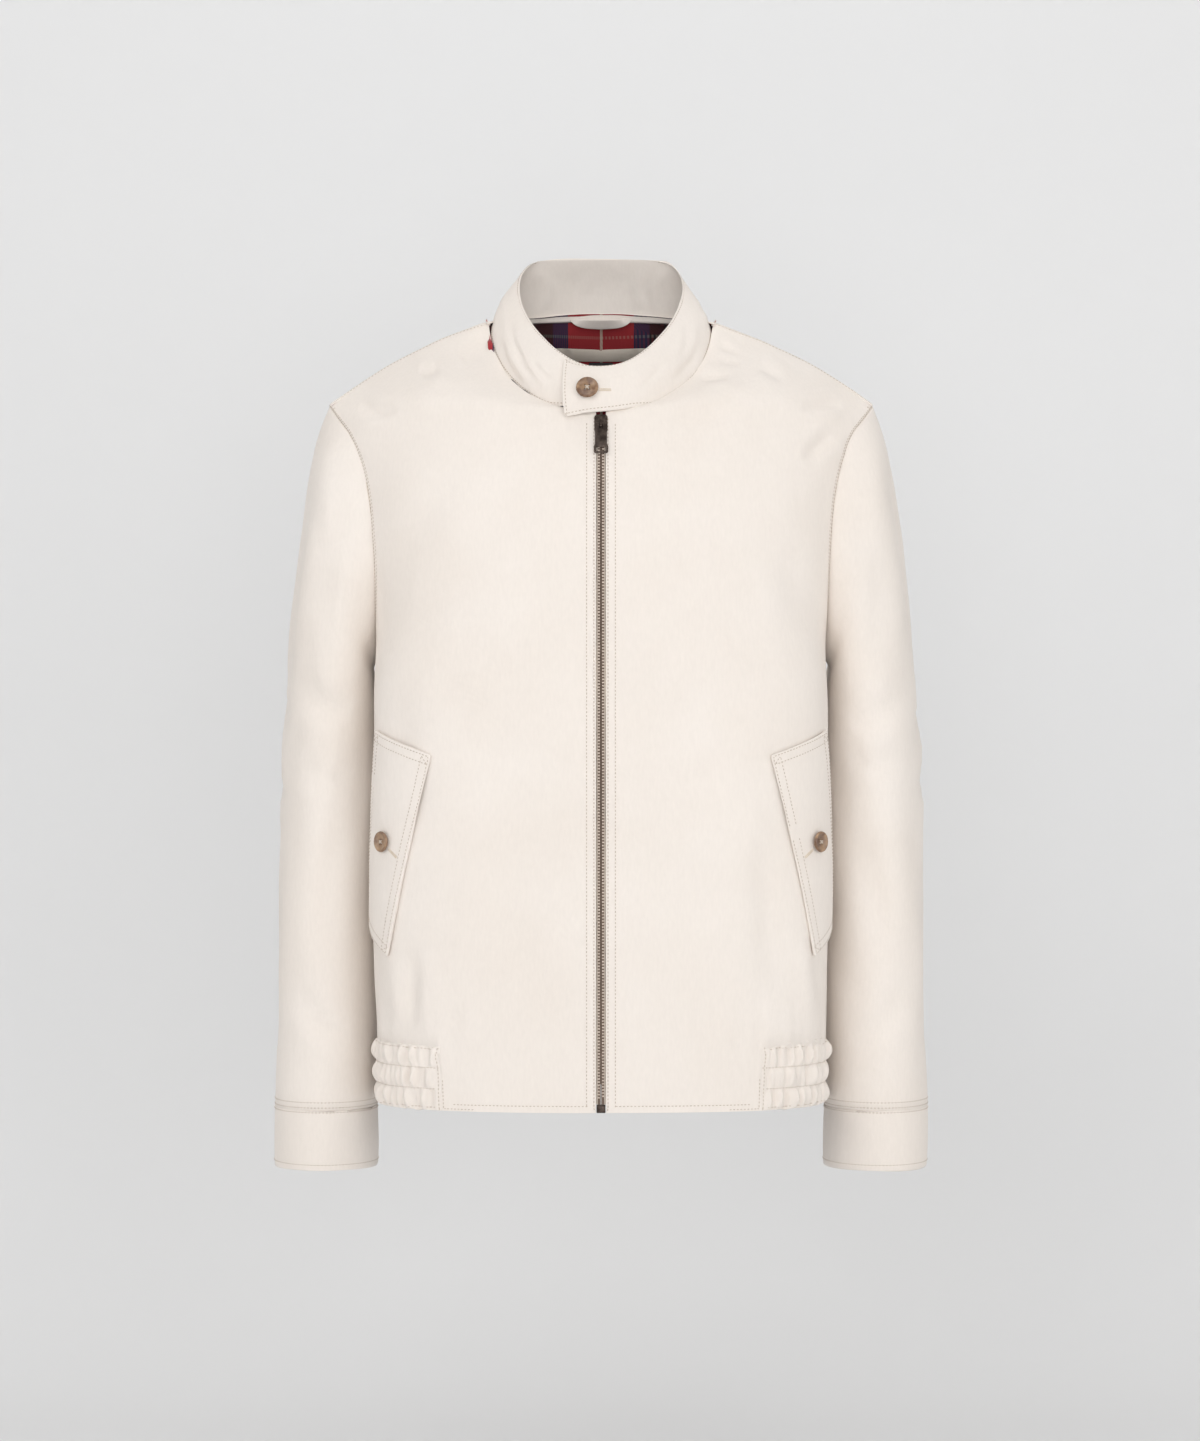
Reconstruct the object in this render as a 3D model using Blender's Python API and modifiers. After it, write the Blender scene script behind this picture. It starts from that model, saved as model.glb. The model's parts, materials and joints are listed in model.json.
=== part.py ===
"""A harrington jacket, zipped to the neck and filled out as it is when worn.

Metres, +Z up. +X is the wearer's left, the front faces -Y, and the origin is the
middle of the base of the neck. Each panel is a thin wall between two skins, worked
out from short tables of rings, rows and edges.
"""

import math
from collections import namedtuple

import bmesh
import bpy
from mathutils import Matrix, Vector
from mathutils.bvhtree import BVHTree

COLLECTION = "harrington_jacket"

# Cloth and seams
CLOTH_WALL = 0.0014
BAND_WALL = 0.0024
FLAP_WALL = 0.0016
LINING_WALL = 0.0010
SEAM_GAP = 0.0003
ARMHOLE_INSET = 0.0005
CENTRE_EDGE_X = 0.0040

# Heights
HEM_Z = -0.654
ELASTIC_TOP_Z = -0.600
UNDERARM_Z = -0.275
CUFF_SEAM_Z = -0.662
CUFF_END_Z = -0.7145

# Columns of each front and each half of the back, and where the elastic starts
COLUMNS = 12
ELASTIC_COLUMN = 6
ELASTIC_SHARE = 0.475
SIDE_SEAM_DEG = 105.0

# The body below the underarm: one level ring for each row, from the hem up
Ring = namedtuple("Ring", "z half_width widest_y front_y back_y")
BODY_RINGS = [
    Ring(HEM_Z, 0.1915, -0.030, -0.1265, 0.106),
    Ring(ELASTIC_TOP_Z, 0.1925, -0.032, -0.1275, 0.111),
    Ring(-0.500, 0.1955, -0.034, -0.1285, 0.116),
    Ring(-0.400, 0.1955, -0.035, -0.1290, 0.115),
    Ring(-0.330, 0.1948, -0.035, -0.1285, 0.118),
    Ring(UNDERARM_Z, 0.1940, -0.034, -0.1275, 0.1215),
]
FRONT_POWER = 2.5
BACK_POWER = 2.2

# Above the underarm: a row from the middle edge to the armhole edge.
# fullness is how squarely the row turns, and lift is how far its middle stands up.
Row = namedtuple("Row", "mid_y mid_z arm_x arm_y arm_z extent fullness lift")
FRONT_ROWS = [
    Row(-0.1265, -0.235, 0.1938, -0.030, -0.246, 0.98, 2.5, 0.0),
    Row(-0.1245, -0.190, 0.1938, -0.046, -0.205, 0.96, 2.4, 0.0),
    Row(-0.1200, -0.145, 0.1958, -0.053, -0.155, 0.93, 2.3, 0.0),
    Row(-0.1130, -0.104, 0.2035, -0.047, -0.108, 0.88, 2.1, 0.002),
    Row(-0.1050, -0.0695, 0.2145, -0.034, -0.082, 0.82, 1.8, 0.005),
]
BACK_ROWS = [
    Row(0.1245, -0.235, 0.1905, 0.046, -0.246, 0.96, 2.2, 0.0),
    Row(0.1270, -0.190, 0.1895, 0.065, -0.205, 0.93, 2.2, 0.0),
    Row(0.1275, -0.140, 0.1915, 0.074, -0.155, 0.90, 2.2, 0.0),
    Row(0.1225, -0.090, 0.2000, 0.071, -0.108, 0.86, 2.1, 0.0),
    Row(0.1095, -0.040, 0.2130, 0.055, -0.082, 0.80, 2.0, 0.001),
    Row(0.0880, 0.004, 0.2240, 0.034, -0.067, 0.72, 1.8, 0.003),
    Row(0.0650, 0.029, 0.2300, 0.015, -0.060, 0.60, 1.7, 0.0055),
]
# Where neck, shoulder and armhole meet: the seam along the top of the shoulder
NECK_POINT = Vector((0.097, -0.012, 0.0155))
SHOULDER_TIP = Vector((0.235, -0.008, -0.056))
SHOULDER_EXTENT = 0.50
SHOULDER_FULLNESS = 1.5
SHOULDER_LIFT = 0.0085
SHOULDER_ROUND = 0.0065
FRONT_NECK_ROWS = 5
BACK_NECK_ROWS = 4

# The sleeve below the armhole: tilted rings, level by the elbow
Sleeve = namedtuple("Sleeve", "out_x out_z in_x in_z mid_y half_y")
SLEEVE_RINGS = [
    Sleeve(0.2440, -0.076, 0.1990, -0.284, 0.014, 0.067),
    Sleeve(0.2535, -0.115, 0.1955, -0.292, 0.020, 0.071),
    Sleeve(0.2612, -0.162, 0.1925, -0.304, 0.026, 0.073),
    Sleeve(0.2690, -0.220, 0.1905, -0.325, 0.031, 0.0735),
    Sleeve(0.2765, -0.300, 0.1900, -0.368, 0.034, 0.0725),
    Sleeve(0.2808, -0.400, 0.1905, -0.432, 0.034, 0.0690),
    Sleeve(0.2828, -0.500, 0.1915, -0.510, 0.030, 0.0650),
    Sleeve(0.2838, -0.590, 0.1925, -0.592, 0.025, 0.0600),
    Sleeve(0.2845, CUFF_SEAM_Z, 0.1935, CUFF_SEAM_Z, 0.020, 0.0560),
]
CUFF_BULGE = 0.0006

# The collar's top edge, from the front middle round one side to the back middle
Edge = namedtuple("Edge", "x y z")
COLLAR_TOP = [
    Edge(0.0000, -0.0920, -0.0312),
    Edge(0.0193, -0.0885, -0.0286),
    Edge(0.0397, -0.0750, -0.0138),
    Edge(0.0553, -0.0560, 0.0037),
    Edge(0.0659, -0.0360, 0.0200),
    Edge(0.0716, -0.0130, 0.0395),
    Edge(0.0722, 0.0090, 0.0560),
    Edge(0.0665, 0.0290, 0.0700),
    Edge(0.0540, 0.0410, 0.0768),
    Edge(0.0280, 0.0450, 0.0775),
    Edge(0.0000, 0.0460, 0.0775),
]
COLLAR_ROWS = 4
NECK_AXIS_Y = -0.015
COLLAR_BULGE = 0.0062
TAB_END_X = 0.0300
TAB_TOP_DROP = 0.0015
TAB_END_Z = -0.0752
TAB_STEP_OUT = 0.0036
TAB_RAMP = 0.045
TAB_COLUMNS = 4

# The pocket flap: the distance from the zip measured round the cloth, and the height
Corner = namedtuple("Corner", "round_from_zip z")
FLAP_FRONT_TOP = Corner(0.139, -0.357)
FLAP_BACK_TOP = Corner(0.205, -0.336)
FLAP_FRONT_END = Corner(0.185, -0.527)
FLAP_BACK_END = Corner(0.248, -0.492)
FLAP_GAP = 0.0008
FLAP_COLUMNS = 6
FLAP_ROWS = 8

# The elastic at the sides of the hem
ELASTIC_CHANNELS = 3
ELASTIC_PUFF = 0.0016

# Trim
BUTTON_WALL = 0.0030
BUTTON_DOWN_FLAP = 0.50
BUTTON_ACROSS_FLAP = 0.43
POCKET_BUTTON_LIFT = 0.0006
COLLAR_BUTTON_X = -0.0114
COLLAR_BUTTON_D = 0.0190
POCKET_BUTTON_D = 0.0180
BUTTON_HOLE_D = 0.0018
BUTTON_HOLE_RING = 0.0024
# The hanging loop, from its middle to its end: the strap's lower edge, then its upper edge
LoopStation = namedtuple("LoopStation", "low_x low_z top_x top_z")
LOOP_STATIONS = [
    (0.0000, 0.0180, 0.0000, 0.0255),
    (0.0085, 0.0181, 0.0070, 0.0255),
    (0.0165, 0.0185, 0.0130, 0.0256),
    (0.0225, 0.0203, 0.0162, 0.0260),
    (0.0262, 0.0232, 0.0185, 0.0266),
    (0.0280, 0.0262, 0.0200, 0.0274),
]
LOOP_STAND = 0.0030
LOOP_SEAT = 0.0008
LOOP_WALL = 0.0012
LINING_ROWS = 4
LINING_COLUMNS = 11
LINING_INSET = 0.0012
LINING_GAP = 0.0008
LABEL_WALL = 0.0006
LABEL_WIDTH = 0.082
LABEL_TOP_Z = 0.0020
LABEL_END_Z = -0.0085
SIZE_LABEL_WIDTH = 0.022
SIZE_LABEL_END_Z = -0.0230

# The zip: half of the chain and its tape, as depth behind the outer skin
CHAIN_X = (0.0002, 0.0034)
CHAIN_DEPTH = (0.0003, 0.0027)
TAPE_X = 0.0160
TAPE_DEPTH = (0.0019, 0.0027)
CHAIN_TOP_Z = -0.0772
CHAIN_END_Z = -0.6468
ZIP_STEPS = 12
BOX_HALF = (0.0037, 0.0021, 0.0033)
BOX_DEPTH = 0.0012
SLIDER_TOP_Z = -0.0725
SLIDER_END_Z = -0.0885
SLIDER_HALF_WIDTH = 0.0055
SLIDER_PLATE = 0.0012
SLIDER_CORNER = 0.0025
SLIDER_CLEAR = 0.0006
NECK_HALF = 0.0013
BAIL_DEPTH = -0.0034
BAIL_ROOM = 0.0010
BAIL_Z = -0.0808
BAIL_HALF_HEIGHT = 0.0026
BAIL_WIRE = 0.0011
PULL_TOP_WIDTH = 0.0100
PULL_END_WIDTH = 0.0120
PULL_LENGTH = 0.0268
PULL_WALL = 0.0011

COTTON = (0.84, 0.78, 0.70, 1.0)
TARTAN = (0.42, 0.06, 0.06, 1.0)
HORN = (0.46, 0.29, 0.17, 1.0)
DARK_BRASS = (0.16, 0.13, 0.10, 1.0)
TAPE_CREAM = (0.80, 0.74, 0.66, 1.0)
LABEL_BLACK = (0.02, 0.02, 0.022, 1.0)


def smooth_along(points, t):
    """The point at t (0 to len - 1) of a smooth curve through the points."""
    i = min(int(t), len(points) - 2)
    f = t - i
    p1, p2 = points[i], points[i + 1]
    p0 = points[i - 1] if i > 0 else p1 * 2 - p2
    p3 = points[i + 2] if i + 2 < len(points) else p2 * 2 - p1
    return 0.5 * (
        2 * p1
        + (p2 - p0) * f
        + (2 * p0 - 5 * p1 + 4 * p2 - p3) * f * f
        + (3 * p1 - p0 - 3 * p2 + p3) * f * f * f
    )


def length_of(line):
    return sum((b - a).length for a, b in zip(line, line[1:]))


def at_share(line, share):
    """The point at this share of a polyline's length."""
    left = share * length_of(line)
    for a, b in zip(line, line[1:]):
        step = (b - a).length
        if left <= step and step > 0:
            return a.lerp(b, left / step)
        left -= step
    return line[-1].copy()


def ring_point(ring, degrees):
    """A point of a level ring: 0 is the front middle, 90 the widest and 180 the back."""
    s = math.sin(math.radians(degrees))
    c = math.cos(math.radians(degrees))
    power, end_y = (FRONT_POWER, ring.front_y) if c >= 0 else (BACK_POWER, ring.back_y)
    x = ring.half_width * s ** (2 / power)
    y = ring.widest_y + (end_y - ring.widest_y) * abs(c) ** (2 / power)
    return Vector((x, y, ring.z))


def ring_line(ring, start_x, first_deg, last_deg, steps=80):
    """The stretch of a ring between two angles, starting at start_x from the middle."""
    line = [
        ring_point(ring, first_deg + (last_deg - first_deg) * i / steps)
        for i in range(steps + 1)
    ]
    kept = [p for p in line if p.x > start_x]
    return [Vector((start_x, line[0].y, ring.z))] + kept


def turn_share(s, extent, fullness):
    """How far a row has turned from its middle edge (0) to its armhole edge (1)."""
    turned = 1 - (1 - (s * extent) ** fullness) ** (1 / fullness)
    whole = 1 - (1 - extent**fullness) ** (1 / fullness)
    return turned / whole


Line = namedtuple("Line", "start end extent fullness lift round")


def row_line(row, steps=60):
    """A row above the underarm, turning from its middle edge to its armhole edge."""
    line = []
    for i in range(steps + 1):
        s = math.sin(math.pi / 2 * i / steps)
        p = row.start.lerp(row.end, s)
        turned = turn_share(s, row.extent, row.fullness)
        p.y = row.start.y + (row.end.y - row.start.y) * turned
        swell = math.sin(math.pi * s)
        p.y += row.round * swell
        p.z += (row.lift + abs(row.round) * 0.6) * swell
        line.append(p)
    return line


def front_neckline(share):
    """The front neckline, from the zip (0) to the neck point (1)."""
    angle = math.pi / 2 * (1 - share)
    low = FRONT_ROWS[-1]
    across = NECK_POINT.x - CENTRE_EDGE_X
    x = CENTRE_EDGE_X + across * math.cos(angle)
    y = NECK_POINT.y + (low.mid_y - NECK_POINT.y) * math.sin(angle) ** 1.2
    z = NECK_POINT.z + (low.mid_z - NECK_POINT.z) * math.sin(angle)
    return Vector((x, y, z))


def back_neckline(share):
    """The back neckline, from the middle of the back (0) to the neck point (1)."""
    angle = math.pi / 2 * share
    top = BACK_ROWS[-1]
    x = NECK_POINT.x * math.sin(angle)
    y = NECK_POINT.y + (top.mid_y - NECK_POINT.y) * math.cos(angle) ** 0.9
    z = NECK_POINT.z + (top.mid_z - NECK_POINT.z) * math.cos(angle)
    return Vector((x, y, z))


def upper_lines(rows, middle_x, neckline, neck_rows):
    """The rows from the underarm to the shoulder seam."""
    lines = [
        Line(
            Vector((middle_x, r.mid_y, r.mid_z)),
            Vector((r.arm_x, r.arm_y, r.arm_z)),
            r.extent,
            r.fullness,
            r.lift,
            0.0,
        )
        for r in rows
    ]
    last = lines[-1]
    outward = math.copysign(SHOULDER_ROUND, last.start.y)
    for i in range(1, neck_rows + 1):
        t = i / neck_rows
        end = last.end.lerp(SHOULDER_TIP, t)
        lines.append(
            Line(
                neckline(t),
                end,
                last.extent + (SHOULDER_EXTENT - last.extent) * t,
                last.fullness + (SHOULDER_FULLNESS - last.fullness) * t,
                last.lift + (SHOULDER_LIFT - last.lift) * t,
                outward * math.sin(math.pi * t),
            )
        )
    return [row_line(line) for line in lines]


class Surface:
    """A panel's outer skin: a smooth surface through its rings and rows."""

    def __init__(self, lines):
        self.lines = lines
        self.lengths = [length_of(line) for line in lines]

    def point(self, share, level):
        first = max(min(int(level), len(self.lines) - 2) - 1, 0)
        near = self.lines[first : first + 4]
        return smooth_along([at_share(line, share) for line in near], level - first)

    def normal(self, share, level):
        """The direction out of the cloth. The front is at -Y, so the body's axis is inside."""
        low, high = max(level - 0.05, 0), min(level + 0.05, len(self.lines) - 1)
        left, right = max(share - 0.01, 0), min(share + 0.01, 1)
        up = self.point(share, high) - self.point(share, low)
        n = (self.point(right, level) - self.point(left, level)).cross(up).normalized()
        p = self.point(share, level)
        return n if n.dot(Vector((p.x, p.y, 0))) > 0 else -n

    def share_at(self, distance, level):
        """The share of a row that lies this far from the middle edge, round the cloth."""
        i = min(int(level), len(self.lengths) - 2)
        f = level - i
        return distance / (self.lengths[i] * (1 - f) + self.lengths[i + 1] * f)


def level_of(z):
    """The level of a height below the underarm, counted in body rings."""
    heights = [Vector((0, 0, ring.z)) for ring in BODY_RINGS]
    low, high = 0.0, len(heights) - 1.0
    for _ in range(30):
        middle = (low + high) / 2
        if smooth_along(heights, middle).z < z:
            low = middle
        else:
            high = middle
    return low


def front_surface():
    lines = [ring_line(r, CENTRE_EDGE_X, 0, SIDE_SEAM_DEG) for r in BODY_RINGS]
    upper = upper_lines(FRONT_ROWS, CENTRE_EDGE_X, front_neckline, FRONT_NECK_ROWS)
    return Surface(lines + upper)


def back_surface():
    lines = [ring_line(r, 0.0, 180, SIDE_SEAM_DEG) for r in BODY_RINGS]
    return Surface(lines + upper_lines(BACK_ROWS, 0.0, back_neckline, BACK_NECK_ROWS))


def column_shares():
    """Even columns on each side of the column where the elastic starts."""
    rest = COLUMNS - ELASTIC_COLUMN
    first = [ELASTIC_SHARE * i / ELASTIC_COLUMN for i in range(ELASTIC_COLUMN)]
    return first + [ELASTIC_SHARE + (1 - ELASTIC_SHARE) * i / rest for i in range(rest + 1)]


def panel_grid(surface, shares):
    """The panel's points. Rows lie half a level apart where the rings are far apart."""
    rings = len(BODY_RINGS) - 1
    levels = [i / 2 for i in range(2 * rings) if i not in (2 * rings - 1, 3)]
    levels += range(rings, len(surface.lines))
    return [[surface.point(share, level) for share in shares] for level in levels]


def sleeve_grid(front_grid, back_grid):
    """The sleeve's rings. The first is the armhole itself, and each starts at the underarm."""
    underarm = len(front_grid) - len(FRONT_ROWS) - FRONT_NECK_ROWS - 1
    front_edge = [row[-1] for row in front_grid[underarm:]]
    back_edge = [row[-1] for row in back_grid[underarm:]]
    armhole = front_edge + back_edge[-2::-1]
    front_length = length_of(front_edge)
    back_length = length_of(back_edge)
    by_length = []
    for i in range(len(front_edge)):
        by_length.append(180 + 180 * length_of(front_edge[: i + 1]) / front_length)
    for i in range(len(back_edge) - 2, -1, -1):
        by_length.append(540 - 180 * length_of(back_edge[: i + 1]) / back_length)
    steps = len(armhole) - 1
    even = [180 + 360 * i / steps for i in range(steps + 1)]
    rings = [armhole]
    for number, ring in enumerate(SLEEVE_RINGS):
        evenness = min((number + 1) / 4, 1)
        outer = Vector((ring.out_x, ring.mid_y, ring.out_z))
        inner = Vector((ring.in_x, ring.mid_y, ring.in_z))
        rings.append([])
        for a, b in zip(by_length, even):
            angle = math.radians(a + (b - a) * evenness)
            p = (outer + inner) / 2 + (outer - inner) / 2 * math.cos(angle)
            p.y = ring.mid_y + ring.half_y * math.sin(angle)
            rings[-1].append(p)
        rings[-1][-1] = rings[-1][0].copy()
    return rings


def cells_of(grid, keep=None):
    """The grid's quads, each as four points."""
    quads = []
    for r in range(len(grid) - 1):
        for c in range(len(grid[0]) - 1):
            if keep is None or keep(r, c):
                corners = ((r, c), (r, c + 1), (r + 1, c + 1), (r + 1, c))
                quads.append([grid[i][j] for i, j in corners])
    return quads


def mirrored(quads):
    return [[Vector((-p.x, p.y, p.z)) for p in quad] for quad in quads]


def place_key(p):
    return (round(p.x, 6) + 0.0, round(p.y, 6) + 0.0, round(p.z, 6) + 0.0)


def skin_of(quads):
    """A mesh of the quads, welded where their points meet, and its points by place."""
    mesh = bmesh.new()
    verts = {}
    for quad in quads:
        for p in quad:
            if place_key(p) not in verts:
                verts[place_key(p)] = mesh.verts.new(p)
        corners = [verts[place_key(p)] for p in quad]
        if len(set(corners)) == 4:
            mesh.faces.new(corners)
    bmesh.ops.recalc_face_normals(mesh, faces=mesh.faces)
    return mesh, verts


def shared_normals(quads, outside):
    """The smooth normal of each point of a skin. outside(p) is a rough direction out."""
    mesh, verts = skin_of(quads)
    mesh.normal_update()
    facing = sum(v.normal.dot(outside(v.co)) for v in mesh.verts)
    sign = 1 if facing > 0 else -1
    normals = {key: v.normal.copy() * sign for key, v in verts.items()}
    mesh.free()
    return normals


def add_wall(name, quads, inward, finish, seam_inset=SEAM_GAP / 2):
    """A closed wall: the quads are its outer skin, and inward(p) leads to the inner one.

    Its free edges are drawn in by half the gap at a seam, so that neighbours stay clear,
    and both skins are split along the same diagonals, so that layers stay parallel.
    """
    mesh, verts = skin_of(quads)
    mesh.normal_update()
    inset = {}
    for edge in mesh.edges:
        if len(edge.link_faces) == 1:
            a, b = (v.co for v in edge.verts)
            face = edge.link_faces[0]
            draw = face.normal.cross(b - a).normalized()
            if draw.dot(face.calc_center_median() - (a + b) / 2) < 0:
                draw.negate()
            for v in edge.verts:
                inset.setdefault(v, []).append(draw)
    steps = {}
    for v in mesh.verts:
        steps[v] = inward(v.co.copy())
    for v, draws in inset.items():
        mean = sum(draws, Vector()) / len(draws)
        v.co += mean * seam_inset / max(mean.length_squared, 0.3)
    faces = list(mesh.faces)
    inner = {v: mesh.verts.new(v.co + steps[v]) for v in steps}
    diagonals = [(verts[place_key(quad[0])], verts[place_key(quad[2])]) for quad in quads]
    rim = [e for e in mesh.edges if len(e.link_faces) == 1]
    for face in faces:
        mesh.faces.new([inner[v] for v in reversed(face.verts)])
    for edge in rim:
        a, b = edge.verts
        mesh.faces.new([a, b, inner[b], inner[a]])
    bmesh.ops.recalc_face_normals(mesh, faces=mesh.faces)
    for a, b in diagonals + [(inner[a], inner[b]) for a, b in diagonals]:
        shared = [face for face in a.link_faces if b in face.verts]
        bmesh.utils.face_split(shared[0], a, b)
    return add_object(name, mesh, finish)


def add_object(name, mesh, finish):
    data = bpy.data.meshes.new(name)
    mesh.to_mesh(data)
    mesh.free()
    made = bpy.data.objects.new(name, data)
    made.data.materials.append(finish)
    bpy.data.collections[COLLECTION].objects.link(made)
    return made


def side_name(side):
    return "left" if side > 0 else "right"


def sided(quads, side):
    return quads if side > 0 else mirrored(quads)


def above_elastic(row, column):
    return row > 1 or column < ELASTIC_COLUMN


def make_shell(shape, cotton):
    """The fronts, the back and the sleeves, whose walls share a direction at each seam."""
    keep_front = cells_of(shape.front_grid, above_elastic)
    keep_back = cells_of(shape.back_grid, above_elastic)
    sleeve = cells_of(shape.sleeve_grid)
    half = cells_of(shape.front_grid) + cells_of(shape.back_grid) + sleeve
    shape.normals = shared_normals(half + mirrored(half), lambda p: Vector((0, p.y, 0)))

    def inward(p):
        return shape.normals[place_key(p)] * -CLOTH_WALL

    for side in (1, -1):
        add_wall(f"front_{side_name(side)}", sided(keep_front, side), inward, cotton)
        sleeve_wall = sided(sleeve, side)
        add_wall(f"sleeve_{side_name(side)}", sleeve_wall, inward, cotton, ARMHOLE_INSET)
    add_wall("back", keep_back + mirrored(keep_back), inward, cotton)


def make_cuffs(shape, cotton):
    """Plain bands, a little fuller at the middle of their height."""
    seam = shape.sleeve_grid[-1]
    middle = sum(seam[:-1], Vector()) / (len(seam) - 1)
    height = CUFF_SEAM_Z - CUFF_END_Z
    rings = []
    for share in (0, 0.5, 1):
        bulge = CUFF_BULGE * math.sin(math.pi * share)
        drop = Vector((0, 0, -height * share))
        rings.append([p + (p - middle).normalized() * bulge + drop for p in seam])

    def inward(p):
        out = Vector((abs(p.x) - middle.x, p.y - middle.y, 0)).normalized()
        return Vector((out.x * math.copysign(1, p.x), out.y, 0)) * -BAND_WALL

    for side in (1, -1):
        add_wall(f"cuff_{side_name(side)}", sided(cells_of(rings), side), inward, cotton)


def make_elastics(shape, cotton):
    """The shirred band at each side of the hem, in channels that stand up a little."""
    rows = []
    normals = {}
    for i in range(2 * ELASTIC_CHANNELS + 1):
        level = i / (2 * ELASTIC_CHANNELS)
        puff = ELASTIC_PUFF * (i % 2)
        row = []
        for surface, shares in (
            (shape.front, shape.shares[ELASTIC_COLUMN:]),
            (shape.back, shape.shares[ELASTIC_COLUMN:][-2::-1]),
        ):
            for share in shares:
                out = surface.normal(share, level)
                p = surface.point(share, level) + out * puff
                normals[place_key(p)] = out
                row.append(p)
        rows.append(row)
    quads = cells_of(rows)

    def inward(p):
        side = math.copysign(1, p.x)
        out = normals[place_key(Vector((abs(p.x), p.y, p.z)))]
        return Vector((out.x * side, out.y, out.z)) * -BAND_WALL

    for side in (1, -1):
        add_wall(f"hem_elastic_{side_name(side)}", sided(quads, side), inward, cotton)


def flap_grid(shape, columns=FLAP_COLUMNS, rows=FLAP_ROWS, out=FLAP_GAP + FLAP_WALL):
    """The pocket flap's outer skin: the front's own points, moved out."""
    grid = []
    for i in range(rows + 1):
        down = i / rows
        row = []
        for j in range(columns + 1):
            across = j / columns
            top = lerp_corner(FLAP_FRONT_TOP, FLAP_BACK_TOP, across)
            end = lerp_corner(FLAP_FRONT_END, FLAP_BACK_END, across)
            place = lerp_corner(top, end, down)
            level = level_of(place.z)
            share = shape.front.share_at(place.round_from_zip, level)
            normal = shape.front.normal(share, level)
            row.append(shape.front.point(share, level) + normal * out)
        grid.append(row)
    return grid


def lerp_corner(a, b, t):
    return Corner(*(x + (y - x) * t for x, y in zip(a, b)))


def make_pockets(shape, cotton, horn):
    """The slanted flap of each side pocket, with its button."""
    grid = flap_grid(shape)
    quads = cells_of(grid)
    normals = shared_normals(quads, lambda p: Vector((1, -0.4, 0)))

    def inward(p):
        n = normals[place_key(Vector((abs(p.x), p.y, p.z)))]
        return Vector((n.x * math.copysign(1, p.x), n.y, n.z)) * -FLAP_WALL

    fine = flap_grid(shape, 40, 40)
    row = round(BUTTON_DOWN_FLAP * 40)
    column = round(BUTTON_ACROSS_FLAP * 40)
    seat = fine[row][column]
    normal = (fine[row][column + 1] - fine[row][column - 1]).cross(
        fine[row - 1][column] - fine[row + 1][column]
    )
    normal.normalize()
    for side in (1, -1):
        add_wall(f"pocket_flap_{side_name(side)}", sided(quads, side), inward, cotton)
        flip = Vector((side, 1, 1))
        out = normal * flip
        name = f"pocket_button_{side_name(side)}"
        add_button(name, seat * flip + out * POCKET_BUTTON_LIFT, out, POCKET_BUTTON_D, horn)


def add_button(name, seat, out, diameter, horn):
    """A four-hole button: a turned dish, then its holes, then turned to face out."""
    r = diameter / 2
    profile = [
        (0.0, BUTTON_WALL * 0.62),
        (r * 0.62, BUTTON_WALL * 0.62),
        (r * 0.80, BUTTON_WALL),
        (r * 0.93, BUTTON_WALL),
        (r, BUTTON_WALL * 0.55),
        (r * 0.90, 0.0),
        (0.0, 0.0),
    ]
    mesh = bmesh.new()
    verts = [mesh.verts.new((x, 0, z)) for x, z in profile]
    for a, b in zip(verts, verts[1:]):
        mesh.edges.new((a, b))
    button = add_object(name, mesh, horn)
    turn = button.modifiers.new("turned", "SCREW")
    turn.steps = 20
    turn.render_steps = 20
    turn.use_merge_vertices = True
    turn.merge_threshold = 0.00005
    for i in range(4):
        angle = math.pi / 4 + math.pi / 2 * i
        cutter = bmesh.new()
        bmesh.ops.create_cone(
            cutter,
            cap_ends=True,
            segments=8,
            radius1=BUTTON_HOLE_D / 2,
            radius2=BUTTON_HOLE_D / 2,
            depth=BUTTON_WALL * 3,
            matrix=Matrix.Translation(
                (BUTTON_HOLE_RING * math.cos(angle), BUTTON_HOLE_RING * math.sin(angle), 0)
            ),
        )
        drill = add_cutter(f"{name}_drill_{i}", cutter)
        cut = button.modifiers.new(f"hole_{i}", "BOOLEAN")
        cut.operation = "DIFFERENCE"
        cut.object = drill
        drill.parent = button
    button.location = seat
    button.rotation_euler = out.to_track_quat("Z", "Y").to_euler()
    return button


def add_cutter(name, mesh):
    data = bpy.data.meshes.new(name)
    mesh.to_mesh(data)
    mesh.free()
    made = bpy.data.objects.new(name, data)
    made.hide_render = True
    made.display_type = "WIRE"
    bpy.data.collections["cutters"].objects.link(made)
    return made


def collar_half(shape):
    """Half of the collar: pairs of points on the neckline and the top edge."""
    underarm = len(shape.front_grid) - FRONT_NECK_ROWS - 1
    front_part = [row[0] for row in shape.front_grid[underarm:]]
    back_part = [row[0] for row in shape.back_grid[-BACK_NECK_ROWS - 1 :]]
    bottom = front_part + back_part[-2::-1]
    top = [Vector(edge) for edge in COLLAR_TOP]
    fine = [smooth_along(top, i / 10) for i in range(10 * (len(top) - 1) + 1)]
    whole = length_of(bottom)
    pairs = []
    for i, low in enumerate(bottom):
        high = at_share(fine, length_of(bottom[: i + 1]) / whole)
        pairs.append((low.copy(), high))
    pairs[0][1].x = CENTRE_EDGE_X
    return pairs


def outward_from_neck(p):
    return Vector((p.x, p.y - NECK_AXIS_Y, 0)).normalized()


def collar_column(low, high, step_out):
    """Points up the collar, a little fuller at the middle of its height."""
    column = []
    for i in range(COLLAR_ROWS + 1):
        t = i / COLLAR_ROWS
        p = low.lerp(high, t)
        bulge = COLLAR_BULGE * math.sin(math.pi * t) + step_out
        column.append(p + outward_from_neck(p) * bulge)
    return column


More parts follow.
